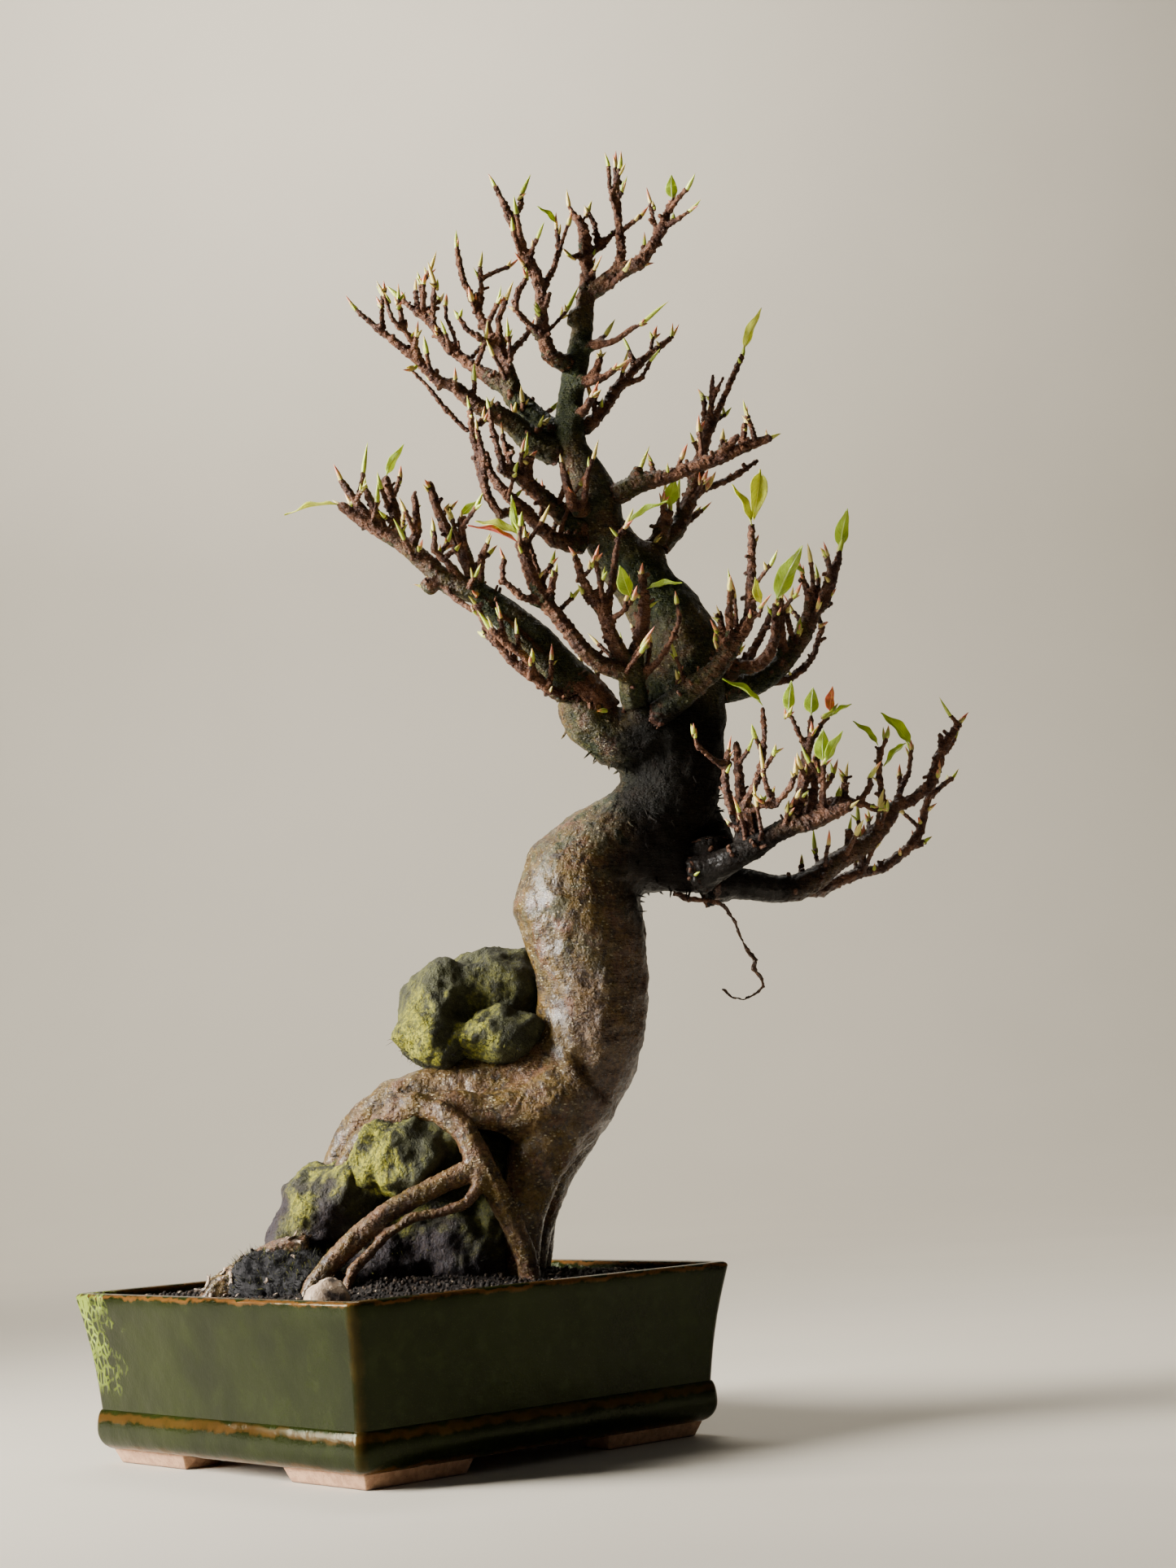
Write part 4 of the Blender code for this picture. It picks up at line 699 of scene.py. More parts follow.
def soil_material():
    """Dark damp grit, with here and there a pale grain."""
    s = settings("stone")
    p = Paint("soil")
    tone = p.attribute("tone")
    base = p.mix(p.span(p.noise(420, 4, 0.7), 0.4, 0.65), s.soil, (0.026, 0.019, 0.015, 1))
    base = p.mix(p.span(tone, 0.55, 0.9), base, (0.044, 0.029, 0.019, 1))
    base = p.mix(p.span(tone, 0.955, 0.965), base, s.grit)
    relief = p.bump(p.noise(900, 4, 0.7), 0.0008)
    return p.finish(base_color=base, roughness=0.8, normal=relief, specular_ior_level=0.15)


def moss_material():
    """Dark brown-black fibres with olive and pale tips."""
    s = settings("stone")
    p = Paint("moss")
    tone, along = p.attribute("tone"), p.attribute("along")
    base = p.mix(p.span(tone, 0.3, 0.95), (0.010, 0.0085, 0.0095, 1), (0.040, 0.046, 0.012, 1))
    base = p.mix(p.times(p.span(along, 0.45, 1.0), p.span(tone, 0.60, 1.0)), base, s.lichen)
    relief = p.bump(p.noise(700, 4, 0.7), 0.001)
    return p.finish(base_color=base, roughness=0.8, normal=relief, specular_ior_level=0.3)


def glaze_material():
    """Dark olive gloss that breaks to amber over edges, with yellow-green cells by one corner."""
    s = settings("pot")
    p = Paint("glaze")
    centred = p.shifted(-POT_MIDDLE.x, -POT_MIDDLE.y, 0)
    x, y, height = p.axes(centred)
    side_x, side_y = p.sum("ABSOLUTE", x), p.sum("ABSOLUTE", y)
    near, wide = p.sum("MINIMUM", side_x, side_y), p.sum("MAXIMUM", side_x, side_y)
    broad, middle, fine = p.noise(16, 3), p.noise(75, 4, 0.6), p.noise(1500, 3, 0.7)
    base = p.mix(p.span(broad, 0.35, 0.68), s.olive, s.moss_green)
    base = p.mix(p.times(p.span(middle, 0.48, 0.72), 0.25), base, (0.022, 0.030, 0.005, 1))
    base = p.mix(p.times(p.span(fine, 0.58, 0.72), 0.4), base, (0.040, 0.050, 0.010, 1))
    base = p.mix(p.times(p.span(p.noise(900, 2), 0.62, 0.72), 0.5), base, (0.010, 0.011, 0.005, 1))
    # Amber on the rim's edges, along the moulding and faintly down the upright edges.
    wobble = p.span(middle, 0.25, 0.75, -0.0016, 0.0016)
    level = p.sum("ADD", height, wobble)
    rim = p.times(p.span(level, RIM - 0.0032, RIM - 0.0014), p.span(level, RIM - 0.0001, RIM - 0.0007))
    brow = p.times(p.span(level, 0.0228, 0.0250), p.span(level, 0.0292, 0.0268))
    base_line = p.span(level, 0.0118, 0.0088)
    edge = p.span(p.sum("SUBTRACT", p.sum("ADD", near, wobble), wide), -0.0060, -0.0012)
    thin = p.sum("MAXIMUM", p.times(rim, 0.4), p.times(brow, 0.18))
    thin = p.sum("MAXIMUM", thin, p.sum("MAXIMUM", p.times(base_line, 0.35), p.times(edge, 0.08)))
    base = p.mix(p.times(thin, p.span(middle, 0.20, 0.62, 0.35, 1.0)), base, s.amber)
    # Cells by the corner at -X +Y.
    cells = p.cells(235, feature="DISTANCE_TO_EDGE", place=p.stretched(1.0, 1.0, 0.7))
    spots = p.span(cells, 0.20, 0.06)
    by_corner = p.times(p.span(p.sum("ADD", y, p.span(middle, 0.2, 0.8, -0.020, 0.020)), 0.092, 0.122),
                        p.span(x, -0.100, -0.112), p.span(height, 0.036, 0.048))
    base = p.mix(p.times(by_corner, 0.6), base, (0.020, 0.028, 0.006, 1))
    base = p.mix(p.times(by_corner, spots, p.span(broad, 0.2, 0.6, 0.55, 1.0)), base, s.oil_spot)
    # Bare clay below the glaze line, and on the underside.
    bare = p.span(level, 0.0080, 0.0068)
    clay = p.mix(p.span(p.noise(260, 4), 0.35, 0.65), s.clay, (0.34, 0.185, 0.10, 1))
    base = p.mix(bare, base, clay)
    relief = p.bump(p.noise(30, 3, 0.5), 0.0012)
    relief = p.bump(p.noise(700, 3, 0.6), 0.00012, relief)
    relief = p.bump(p.times(by_corner, spots), 0.0004, relief)
    gloss = p.sum("ADD", p.span(fine, 0.3, 0.7, 0.06, 0.15), p.times(bare, 0.6))
    return p.finish(base_color=base, roughness=gloss, normal=relief, ior=1.38, specular_ior_level=0.24,
                    specular_tint=(0.80, 0.90, 0.50, 1))


def clay_material():
    """Bare fired clay, with dark flecks, darker over its lowest 1.6 mm."""
    s = settings("pot")
    p = Paint("clay")
    base = p.mix(p.span(p.noise(230, 4), 0.35, 0.65), s.clay, (0.33, 0.18, 0.10, 1))
    base = p.mix(p.times(p.span(p.noise(900, 3), 0.60, 0.72), 0.7), base, (0.10, 0.06, 0.04, 1))
    # Darker over the lowest 1.6 mm of the feet, where they meet the floor.
    base = p.mix(p.span(p.axes()[2], 0.0016, 0.0), base, (0.16, 0.10, 0.07, 1))
    return p.finish(base_color=base, roughness=0.78, normal=p.bump(p.noise(650, 4, 0.65), 0.0005))


def plastic_material():
    p = Paint("screen_plastic")
    grain = p.noise(1200, 3)
    base = p.mix(p.span(grain, 0.4, 0.6), (0.012, 0.012, 0.012, 1), (0.028, 0.028, 0.027, 1))
    return p.finish(base_color=base, roughness=0.48, normal=p.bump(grain, 0.0001))


MATERIALS = {}


def material(name, make, *values):
    """A material that several pieces share, made the first time it is asked for."""
    if name not in MATERIALS:
        MATERIALS[name] = make(*values)
    return MATERIALS[name]


# ---- Wood ----------------------------------------------------------------------------------------


def add_tail(piece, root, into):
    """Joins a flaring tail to a branch's cut end, so that it grows out of the wood round the point into."""
    near = [vert.co for vert in piece.data.vertices if (vert.co - root).length < 0.012]
    start = sum(near, Vector()) / len(near)
    way = into - start
    bpy.ops.mesh.primitive_cone_add(
        vertices=24, radius1=0.0085, radius2=0.015, depth=way.length, location=start + way / 2,
        rotation=way.to_track_quat("Z", "Y").to_euler(),
    )
    use(piece, bpy.context.object)
    bpy.ops.object.join()


def wood_piece(name, cell, *nodes, root=None, into=None):
    """Bark over copies of the CAD's wood: rounded, knobbly, ringed on twigs and let out over the joints."""
    s = settings("wood")
    piece = copy_of(name, *nodes)
    if into:
        add_tail(piece, root, into)
    apply_modifier(piece, "REMESH", mode="VOXEL", voxel_size=cell, use_smooth_shade=True)
    girths = girth_of(piece)
    slim = 1 - soft_step(girths, 0.007, 0.020)
    weigh(piece, "stout", soft_step(girths, 0.010, 0.040))
    weigh(piece, "twig", 0.30 + 0.70 * slim)
    weigh(piece, "thin", 1 - soft_step(girths, 0.0035, 0.009))
    from_pot = (points_of(piece) - np.array((POT_MIDDLE.x, POT_MIDDLE.y, 0))) @ np.array(TREE_TURN)
    crumpled = soft_step(from_pot[:, 2], 0.150, 0.190) * soft_step(from_pot[:, 2], 0.262, 0.232)
    weigh(piece, "crumpled", crumpled * soft_step(from_pot[:, 0], 0.112, 0.078))
    if root:
        edges = np.array([edge.vertices[:] for edge in piece.data.edges])
        reach = np.array(reach_along(points_of(piece), edges, root))
        reach[np.isinf(reach)] = 0
        beat = np.cos(2 * math.pi * (reach / 0.0049 + 0.35 * np.sin(reach * 390)))
        weigh(piece, "ringed", np.clip(beat, 0, 1) ** 3 * slim)
    smooth(piece, 4)
    smooth(piece, 60, "stout")
    displace(piece, 0.0042, 0.030, "stout")
    displace(piece, 0.0028, 0.010, "stout")
    if crumpled.max() > 0.5:
        displace(piece, 0.0042, 0.0135, "crumpled")
    displace(piece, s.knuckle, 0.0046, "twig")
    displace(piece, s.knuckle * 0.65, 0.0023)
    displace(piece, -s.slim, group="thin")
    if root:
        displace(piece, s.ring, group="ringed")
    displace(piece, s.swell)
    piece.vertex_groups.clear()
    store(piece, "girth", girth_of(piece))
    piece.data.shade_smooth()
    return deliver(piece, material("bark", bark_material), SLOTS[nodes[0]], *nodes)


class BONSAI_OT_trunk(bpy.types.Operator):
    """Models the trunk with the roots that hold the stones, and the roots that lie or hang free"""

    bl_idname = "bonsai.trunk"
    bl_label = "Trunk and roots"

    def execute(self, context):
        s = settings("wood")
        wood_piece("trunk_wood", s.trunk_cell, "trunk")
        wood_piece("surface_root_wood", s.twig_cell, "surface_root")
        wood_piece("aerial_root_wood", s.twig_cell * 0.7, "aerial_root")
        return {"FINISHED"}


class BONSAI_OT_branches(bpy.types.Operator):
    """Models each branch with its twigs"""

    bl_idname = "bonsai.branches"
    bl_label = "Branches"

    def execute(self, context):
        burl = tree_place(*BURL)
        for node in BRANCHES:
            into = burl if node == "branch_low_right_front" else None
            wood_piece(node + "_wood", settings("wood").twig_cell, node, root=root_of(node), into=into)
        return {"FINISHED"}


# ---- Buds and rootlets ---------------------------------------------------------------------------


def spindle(name, rings, sides, lean=0.0):
    """A pointed shape of unit height, extruded up from a disc: rings are (height, radius)."""
    bpy.ops.object.select_all(action="DESELECT")
    bpy.ops.mesh.primitive_circle_add(
        vertices=sides, radius=rings[0][1], fill_type="NGON", location=(0, 0, 0)
    )
    obj = bpy.context.object
    obj.name = name
    bpy.ops.object.mode_set(mode="EDIT")
    bpy.ops.mesh.select_all(action="SELECT")
    for (low, narrow), (high, wide) in zip(rings, rings[1:]):
        shift = lean * (high * high - low * low)
        bpy.ops.mesh.extrude_region_move(TRANSFORM_OT_translate={"value": (shift, 0, high - low)})
        share = wide / narrow
        middle = (lean * high * high, 0, high)
        bpy.ops.transform.resize(value=(share, share, 1), center_override=middle)
    bpy.ops.mesh.select_all(action="SELECT")
    bpy.ops.mesh.normals_make_consistent(inside=False)
    bpy.ops.object.mode_set(mode="OBJECT")
    return obj


def sideways(rng, way):
    """A random way square to that one."""
    other = Vector((rng.gauss(0, 1), rng.gauss(0, 1), rng.gauss(0, 1)))
    return (other - way * other.dot(way)).normalized()


def wood_spots(obj, rng, count, wanted):
    """(place, normal) of random points of a piece's faces that are wanted, a share each by area."""
    faces = [f for f in obj.data.polygons if wanted(f)]
    if not faces:
        raise RuntimeError(f"{obj.name} has no face where these should go")
    areas = np.cumsum([f.area for f in faces])
    picks = [int(np.searchsorted(areas, rng.random() * areas[-1])) for _ in range(count)]
    spots = []
    for pick in picks:
        corners = [obj.data.vertices[i].co for i in faces[pick].vertices]
        shares = [rng.random() for _ in corners]
        place = sum((c * w for c, w in zip(corners, shares)), Vector()) / sum(shares)
        spots.append((place, faces[pick].normal.copy()))
    return spots


def twig_spots(rng, count, low, high):
    """(place, normal) of random points of the branches' sides, where the wood is that thick."""
    pieces = [bpy.data.objects[node + "_wood"] for node in BRANCHES]
    areas = [sum(f.area for f in piece.data.polygons) for piece in pieces]
    spots = []
    for piece, area in zip(pieces, areas):
        girths = np.empty(len(piece.data.vertices), np.float32)
        piece.data.attributes["girth"].data.foreach_get("value", girths)
        share = max(2, round(count * area / sum(areas)))

        def wanted(face):
            return low < girths[face.vertices[0]] < high and face.normal.z > -0.35

        spots += wood_spots(piece, rng, share, wanted)
    return spots


class BONSAI_OT_side_shoots(bpy.types.Operator):
    """Sets short knobbly side shoots and blunt spurs along the twigs"""

    bl_idname = "bonsai.side_shoots"
    bl_label = "Side shoots and spurs"

    def execute(self, context):
        rng = random.Random(17)
        s = settings("buds")
        centre = Vector((POT_MIDDLE.x, POT_MIDDLE.y, 0))
        crop = Crop(rng)
        for place, normal in twig_spots(rng, s.side_shoots, 0.003, 0.014):
            out = place - centre
            out.z = 0
            rise = Vector((0, 0, rng.uniform(0.5, 1.2)))
            way = (normal * 0.75 + rise + out.normalized() * 0.25).normalized()
            long = rng.uniform(0.006, 0.019)
            wide = rng.uniform(0.00125, 0.00185)
            crop.add(place - way * 0.0015, way, (wide, wide, long))
            tip = crop.places[-1] @ Vector((1.5, 0, 1))
            SIDE_SHOOT_ENDS.append((tip, (tip - crop.places[-1] @ Vector((0.75, 0, 0.7))).normalized()))
        rings = [
            (0.0, 1.35), (0.12, 0.95), (0.27, 0.9), (0.31, 1.18), (0.36, 0.88), (0.55, 0.82),
            (0.60, 1.12), (0.65, 0.84), (0.84, 0.8), (0.89, 1.1), (0.96, 0.95), (1.0, 0.55),
        ]
        shoots = crop.gather("side_shoots", spindle("side_shoot", rings, 8, lean=1.5), girth=0.004)
        deliver(shoots, material("bark", bark_material), "branch_bark")
        crop = Crop(rng)
        for place, normal in twig_spots(rng, s.spurs, 0.003, 0.016):
            way = (normal + Vector((0, 0, 0.3)) + sideways(rng, normal) * 0.3).normalized()
            long = rng.uniform(0.0016, 0.0042)
            wide = rng.uniform(0.0008, 0.0016)
            crop.add(place - way * 0.0008, way, (wide, wide, long))
        rings = [(0.0, 1.5), (0.3, 1.0), (0.7, 0.95), (0.9, 0.85), (1.0, 0.5)]
        spurs = crop.gather("spurs", spindle("spur", rings, 7, lean=0.4), girth=0.0055)
        deliver(spurs, material("bark", bark_material), "branch_bark")
        return {"FINISHED"}


class BONSAI_OT_buds(bpy.types.Operator):
    """Sets pointed buds on every shoot's end, and a few along the twigs"""

    bl_idname = "bonsai.buds"
    bl_label = "Buds"

    def execute(self, context):
        rng = random.Random(11)
        size = settings("buds").bud
        crop = Crop(rng)

        def bud(place, way, long, wide):
            crop.add(place, way, (wide, wide, long))

        for place, way in SHOOT_ENDS + SIDE_SHOOT_ENDS:
            up = (way + Vector((0, 0, 0.35))).normalized()
            grown = 1.6 if rng.random() < 0.12 else 1.0
            bud(place - up * 0.002, up, size * rng.uniform(0.7, 1.4) * grown, rng.uniform(0.0010, 0.0016))
            for _ in range(rng.choice((0, 1, 1, 2, 2, 3))):
                out = (up + sideways(rng, up) * rng.uniform(0.35, 0.8)).normalized()
                start = place - way * rng.uniform(0.0005, 0.0065)
                bud(start, out, size * rng.uniform(0.4, 0.9), rng.uniform(0.0008, 0.0013))
        for place, normal in twig_spots(rng, 70, 0.003, 0.008):
            out = (normal + Vector((0, 0, 0.9))).normalized()
            bud(place - out * 0.001, out, size * rng.uniform(0.4, 0.8), rng.uniform(0.0008, 0.0012))
        rings = [(0.0, 0.75), (0.15, 1.0), (0.38, 1.0), (0.6, 0.74), (0.8, 0.42), (0.93, 0.18), (1.0, 0.04)]
        piece = crop.gather("buds", spindle("bud", rings, 7, lean=0.9))
        deliver(piece, material("bud", bud_material), "leaf_young")
        return {"FINISHED"}


class BONSAI_OT_rootlets(bpy.types.Operator):
    """Sets short stiff rootlets under the dark burl and round the trunk's shoulders"""

    bl_idname = "bonsai.rootlets"
    bl_label = "Rootlets"

    def execute(self, context):
        rng = random.Random(23)
        trunk = bpy.data.objects["trunk_wood"]

        def under(centre, reach, lean):
            return lambda f: (f.center - centre).length < reach and f.normal.z < lean

        spots = wood_spots(trunk, rng, 80, under(tree_place(178, 0, 312), 0.052, 0.25))
        spots += wood_spots(trunk, rng, 16, under(tree_place(124, -10, 372), 0.028, 0.3))
        crop = Crop(rng)
        for place, normal in spots:
            way = (normal + Vector((0, 0, -0.5)) + sideways(rng, normal) * 0.6).normalized()
            long = rng.uniform(0.0020, 0.0075)
            wide = rng.uniform(0.00045, 0.00090)
            crop.add(place - way * 0.001, way, (wide, wide, long), tone=0.004)
        rings = [(0.0, 1.3), (0.3, 0.9), (0.65, 0.9), (1.0, 0.2)]
        piece = crop.gather("rootlets", spindle("rootlet", rings, 5, lean=1.2), girth=0.02)
        deliver(piece, material("bark", bark_material), "trunk_bark")
        return {"FINISHED"}


# ---- Leaves --------------------------------------------------------------------------------------


def leaf_template():
    """A pointed blade of unit length and width along +X: folded at its midrib, wavy, and on a short stalk."""
    bpy.ops.object.select_all(action="DESELECT")
    bpy.ops.mesh.primitive_grid_add(x_subdivisions=20, y_subdivisions=8, size=1, location=(0.5, 0, 0))
    leaf = bpy.context.object
    bpy.ops.object.transform_apply(location=True)
    for vert in leaf.data.vertices:
        x, y = vert.co.x, vert.co.y
        blade = max(0.0, (x - 0.10) / 0.90)
        outline = math.sin(math.pi * blade ** 0.72) ** 0.85 * (1 - 0.35 * blade)
        wide = max(outline * 1.18, 0.10 * (1 - x) ** 2 + 0.012)
        fold = 0.20 * abs(y) * outline
        wave = 0.035 * math.sin(14 * x) * abs(y) * 2
        vert.co = Vector((x, y * wide, fold + wave + 0.06 * math.sin(math.pi * x) - 0.06 * x))
    return leaf


def leaf_frame(node):
    """A leaf's start, its way, its face and its (length, width), read from its CAD blade."""
    points = points_of(NODES[node])
    middle = points.mean(0)
    _, _, axes = np.linalg.svd(points - middle, full_matrices=False)
    way, across, face = (Vector(axis) for axis in axes)
    ends = [Vector(points[np.argmax((points - middle) @ np.array(w))]) for w in (way, -way)]
    wood = min((place for place, _ in SHOOT_ENDS), key=lambda e: min((e - end).length for end in ends))
    if (ends[0] - wood).length < (ends[1] - wood).length:
        ends.reverse()
    tip, start = ends
    way = (tip - start).normalized()
    if face.z < 0:
        face = -face
    across = face.cross(way).normalized()
    spread = (points - middle) @ np.array(across)
    return start, way, across, (tip - start).length, float(spread.max() - spread.min())


class BONSAI_OT_leaves(bpy.types.Operator):
    """Models each leaf on its CAD blade, from its stalk to its tip"""

    bl_idname = "bonsai.leaves"
    bl_label = "Leaves"

    def execute(self, context):
        s = settings("buds")
        tints = {"leaf_green": s.leaf, "leaf_young": s.young_leaf, "leaf_red": s.red_leaf}
        template = leaf_template()
        for node in LEAVES:
            start, way, across, long, wide = leaf_frame(node)
            stalk = 0.0025
            leaf = bpy.data.objects.new(node + "_blade", template.data.copy())
            bpy.context.scene.collection.objects.link(leaf)
            face = way.cross(across)
            turn = Matrix((way * (long + stalk), across * wide, face * long)).transposed().to_4x4()
            leaf.data.transform(Matrix.Translation(start - way * stalk) @ turn)
            apply_modifier(leaf, "SOLIDIFY", thickness=0.0004, offset=0)
            apply_modifier(leaf, "SUBSURF", levels=1, render_levels=1)
            leaf.data.shade_smooth()
            slot = SLOTS[node]
            deliver(leaf, material(slot, leaf_material, slot, tuple(tints[slot])), slot, node)
        bpy.data.objects.remove(template)
        return {"FINISHED"}


# ---- Stones, moss and soil -----------------------------------------------------------------------


def stone_piece(name, node):
    s = settings("stone")
    piece = copy_of(name, node)
    apply_modifier(piece, "REMESH", mode="VOXEL", voxel_size=s.stone_cell, use_smooth_shade=True)
    smooth(piece, 9)
    displace(piece, s.crag, 0.016, kind="VORONOI", middle=0.45)
    displace(piece, s.crag, 0.024)
    displace(piece, s.crag * 0.55, 0.009)
    displace(piece, s.crag * 0.26, 0.0036)
    displace(piece, 0.0007)
    # The window light's direction in the tree's frame: the side of a stone that faces it gets the lichen,
    # painted lighter.
    light = np.array(TREE_TURN @ Vector((-0.88, -0.30, 0.30)))
    store(piece, "lit", normals_of(piece) @ light)
    piece.data.shade_smooth()
    look, make = ("knuckle", knuckle_material) if node == "loose_stone" else ("stone", stone_material)
    return deliver(piece, material(look, make), SLOTS[node], node)


class BONSAI_OT_stones(bpy.types.Operator):
    """Models the craggy stones under the roots, and the loose one by the rim"""

    bl_idname = "bonsai.stones"
    bl_label = "Stones"

    def execute(self, context):
        for node in STONES + ["loose_stone"]:
            stone_piece(node + "_rock", node)
        return {"FINISHED"}


class BONSAI_OT_soil(bpy.types.Operator):
    """Models the soil's surface, with loose grains on it"""

    bl_idname = "bonsai.soil"
    bl_label = "Soil"

    def execute(self, context):
        s = settings("stone")
        rng = random.Random(5)
        piece = copy_of("soil_bed", "soil")
        apply_modifier(piece, "REMESH", mode="VOXEL", voxel_size=0.0026, use_smooth_shade=True)
        displace(piece, 0.0022, 0.006)
        store(piece, "tone", np.zeros(len(piece.data.vertices)))
        deliver(piece, material("soil", soil_material), "soil", "soil")
        spots = wood_spots(piece, rng, s.grains, lambda f: f.center.z > SOIL_LEVEL and f.normal.z > 0.5)
        bpy.ops.object.select_all(action="DESELECT")
        bpy.ops.mesh.primitive_ico_sphere_add(subdivisions=1, radius=1, location=(0, 0, 0))
        grain = bpy.context.object
        for vert in grain.data.vertices:
            vert.co *= rng.uniform(0.72, 1.15)
        crop = Crop(rng)
        for place, normal in spots:
            size = 0.0006 + 0.0013 * rng.random() ** 2
            shape = [size * rng.uniform(*span) for span in ((0.7, 1.3), (0.7, 1.3), (0.6, 1.0))]
            crop.add(place + normal * size * 0.25, sideways(rng, normal), shape)
        grains = crop.gather("soil_grains", grain)
        deliver(grains, material("soil", soil_material), "soil")
        return {"FINISHED"}


def flake_template():
    """A thin curled flake of bark: a grid bent along one side, with a ragged edge and some thickness."""
    bpy.ops.object.select_all(action="DESELECT")
    bpy.ops.mesh.primitive_grid_add(x_subdivisions=5, y_subdivisions=2, size=2, location=(0, 0, 0))
    flake = bpy.context.object
    for vert in flake.data.vertices:
        ragged = 1 + 0.25 * math.sin(9 * vert.co.y + 4 * vert.co.x)
        vert.co = Vector((vert.co.x * ragged, vert.co.y * 0.45 * ragged, 0.35 * vert.co.x ** 2))
    apply_modifier(flake, "SOLIDIFY", thickness=0.16, offset=0)
    return flake


class BONSAI_OT_litter(bpy.types.Operator):
    """Scatters curled flakes of bark over the mound, the lying root and the soil beside them"""

    bl_idname = "bonsai.litter"
    bl_label = "Litter"

    def execute(self, context):
        rng = random.Random(47)
        mound, root = bpy.data.objects["moss_bed"], bpy.data.objects["surface_root_wood"]
        bed = bpy.data.objects["soil_bed"]
        foot = Vector((-0.150, 0.035, RIM))
        spots = wood_spots(mound, rng, 18, lambda f: f.center.z > RIM - 0.002 and f.normal.z > 0)
        spots += wood_spots(root, rng, 24, lambda f: f.normal.z > -0.2)
        spots += wood_spots(bed, rng, 16, lambda f: (f.center - foot).length < 0.055 and f.normal.z > 0.6)
        spots += wood_spots(bed, rng, 8, lambda f: f.center.z > SOIL_LEVEL and f.normal.z > 0.6)
        crop = Crop(rng)
        for place, normal in spots:
            long = rng.uniform(0.0012, 0.0038)
            tilt = (normal + sideways(rng, normal) * rng.uniform(0.1, 0.8)).normalized()
            shape = (long, long * rng.uniform(0.6, 1.1), long)
            crop.add(place + normal * 0.0006, tilt, shape)
        litter = crop.gather("litter", flake_template())
        deliver(litter, material("knuckle", knuckle_material), "soil")
        return {"FINISHED"}


class BONSAI_OT_moss(bpy.types.Operator):
    """Models the fibrous mound, and strands of moss on it and round the stones"""

    bl_idname = "bonsai.moss"
    bl_label = "Moss"

    def execute(self, context):
        s = settings("stone")
        rng = random.Random(31)
        mound = copy_of("moss_bed", "moss_mound")
        apply_modifier(mound, "REMESH", mode="VOXEL", voxel_size=0.0013, use_smooth_shade=True)
        smooth(mound, 12)
        displace(mound, 0.006, 0.010)
        displace(mound, 0.0025, 0.0035)
        displace(mound, 0.0008)
        store(mound, "tone", np.full(len(mound.data.vertices), 0.35))
        store(mound, "along", np.zeros(len(mound.data.vertices)))
        deliver(mound, material("moss", moss_material), "moss", "moss_mound")
        spots = wood_spots(
            mound, rng, s.strands // 2, lambda f: f.center.z > RIM - 0.010 and f.normal.z > -0.3
        )
        for name, share in (("stone_left_rock", 5), ("stone_base_rock", 9), ("stone_upper_rock", 12)):
            rock = bpy.data.objects[name]
            low = min(v.co.z for v in rock.data.vertices)
            ceiling = max(low, RIM) + 0.020
            spots += wood_spots(rock, rng, s.strands // share, lambda f: RIM - 0.01 < f.center.z < ceiling)
        crop = Crop(rng)
        for place, normal in spots:
            way = (normal + Vector((0, 0, 0.4)) + sideways(rng, normal) * rng.uniform(0.2, 1.1)).normalized()
            long = rng.uniform(0.0018, 0.0058)
            wide = rng.uniform(0.00012, 0.00026)
            crop.add(place - way * 0.0004, way, (wide, wide, long))
        rings = [(0.0, 1.0), (0.5, 0.9), (1.0, 0.2)]
        strands = crop.gather("moss_strands", spindle("strand", rings, 3, lean=0.05))
        deliver(strands, material("moss", moss_material), "moss")
        return {"FINISHED"}


# ---- Pot -----------------------------------------------------------------------------------------


def arc(start, end, steps, outward_first):
    """(height, half side) points on a quarter round from start to end, without start itself."""
    points = []
    for step in range(1, steps + 1):
        angle = math.pi / 2 * step / steps
        rise, out = math.sin(angle), 1 - math.cos(angle)
        if outward_first:
            rise, out = out, rise
        points.append((start[0] + (end[0] - start[0]) * rise, start[1] + (end[1] - start[1]) * out))
    return points


def pot_profile():
    """(height, half side) from the underside's edge, up the outside, over the rim and down to the floor."""
    s = settings("pot")
    base = (s.foot_height, POT_HALF - s.base_inset)
    bulge = (s.bulge_height, POT_HALF - s.bulge_inset)
    neck = (s.neck_height, POT_HALF - s.neck_inset)
    r = s.rim_round
    profile = [base] + arc(base, bulge, 7, True) + arc(bulge, neck, 7, False)
    top = RIM - r
    for step in range(1, 8):
        share = step / 7
        hollow = 0.0012 * math.sin(math.pi * share)
        profile.append((neck[0] + (top - neck[0]) * share, neck[1] + (POT_HALF - neck[1]) * share - hollow))
    profile += arc((top, POT_HALF), (RIM, POT_HALF - r), 4, False)
    inner = POT_HALF - s.wall
    profile += arc((RIM, inner + r), (top, inner), 4, True)
    lean = s.neck_inset / (RIM - s.neck_height)
    floor = s.foot_height + s.floor
    for share in (0.35, 0.7, 1.0):
        height = top + (floor - top) * share
        profile.append((height, inner - lean * (top - height)))
    return profile


class BONSAI_OT_pot(bpy.types.Operator):
    """Models the glazed pot, extruded ring by ring from its underside, and its four clay feet"""

    bl_idname = "bonsai.pot"
    bl_label = "Pot"

    def execute(self, context):
        s = settings("pot")
        pot = extruded_pot(pot_profile())
        round_uprights(pot, s.corner)
        drill_drains(pot, s)
        use(pot)
        bpy.ops.object.shade_smooth_by_angle(angle=math.radians(32))
        deliver(pot, material("glaze", glaze_material), "glaze", "pot")
        make_feet()
        return {"FINISHED"}


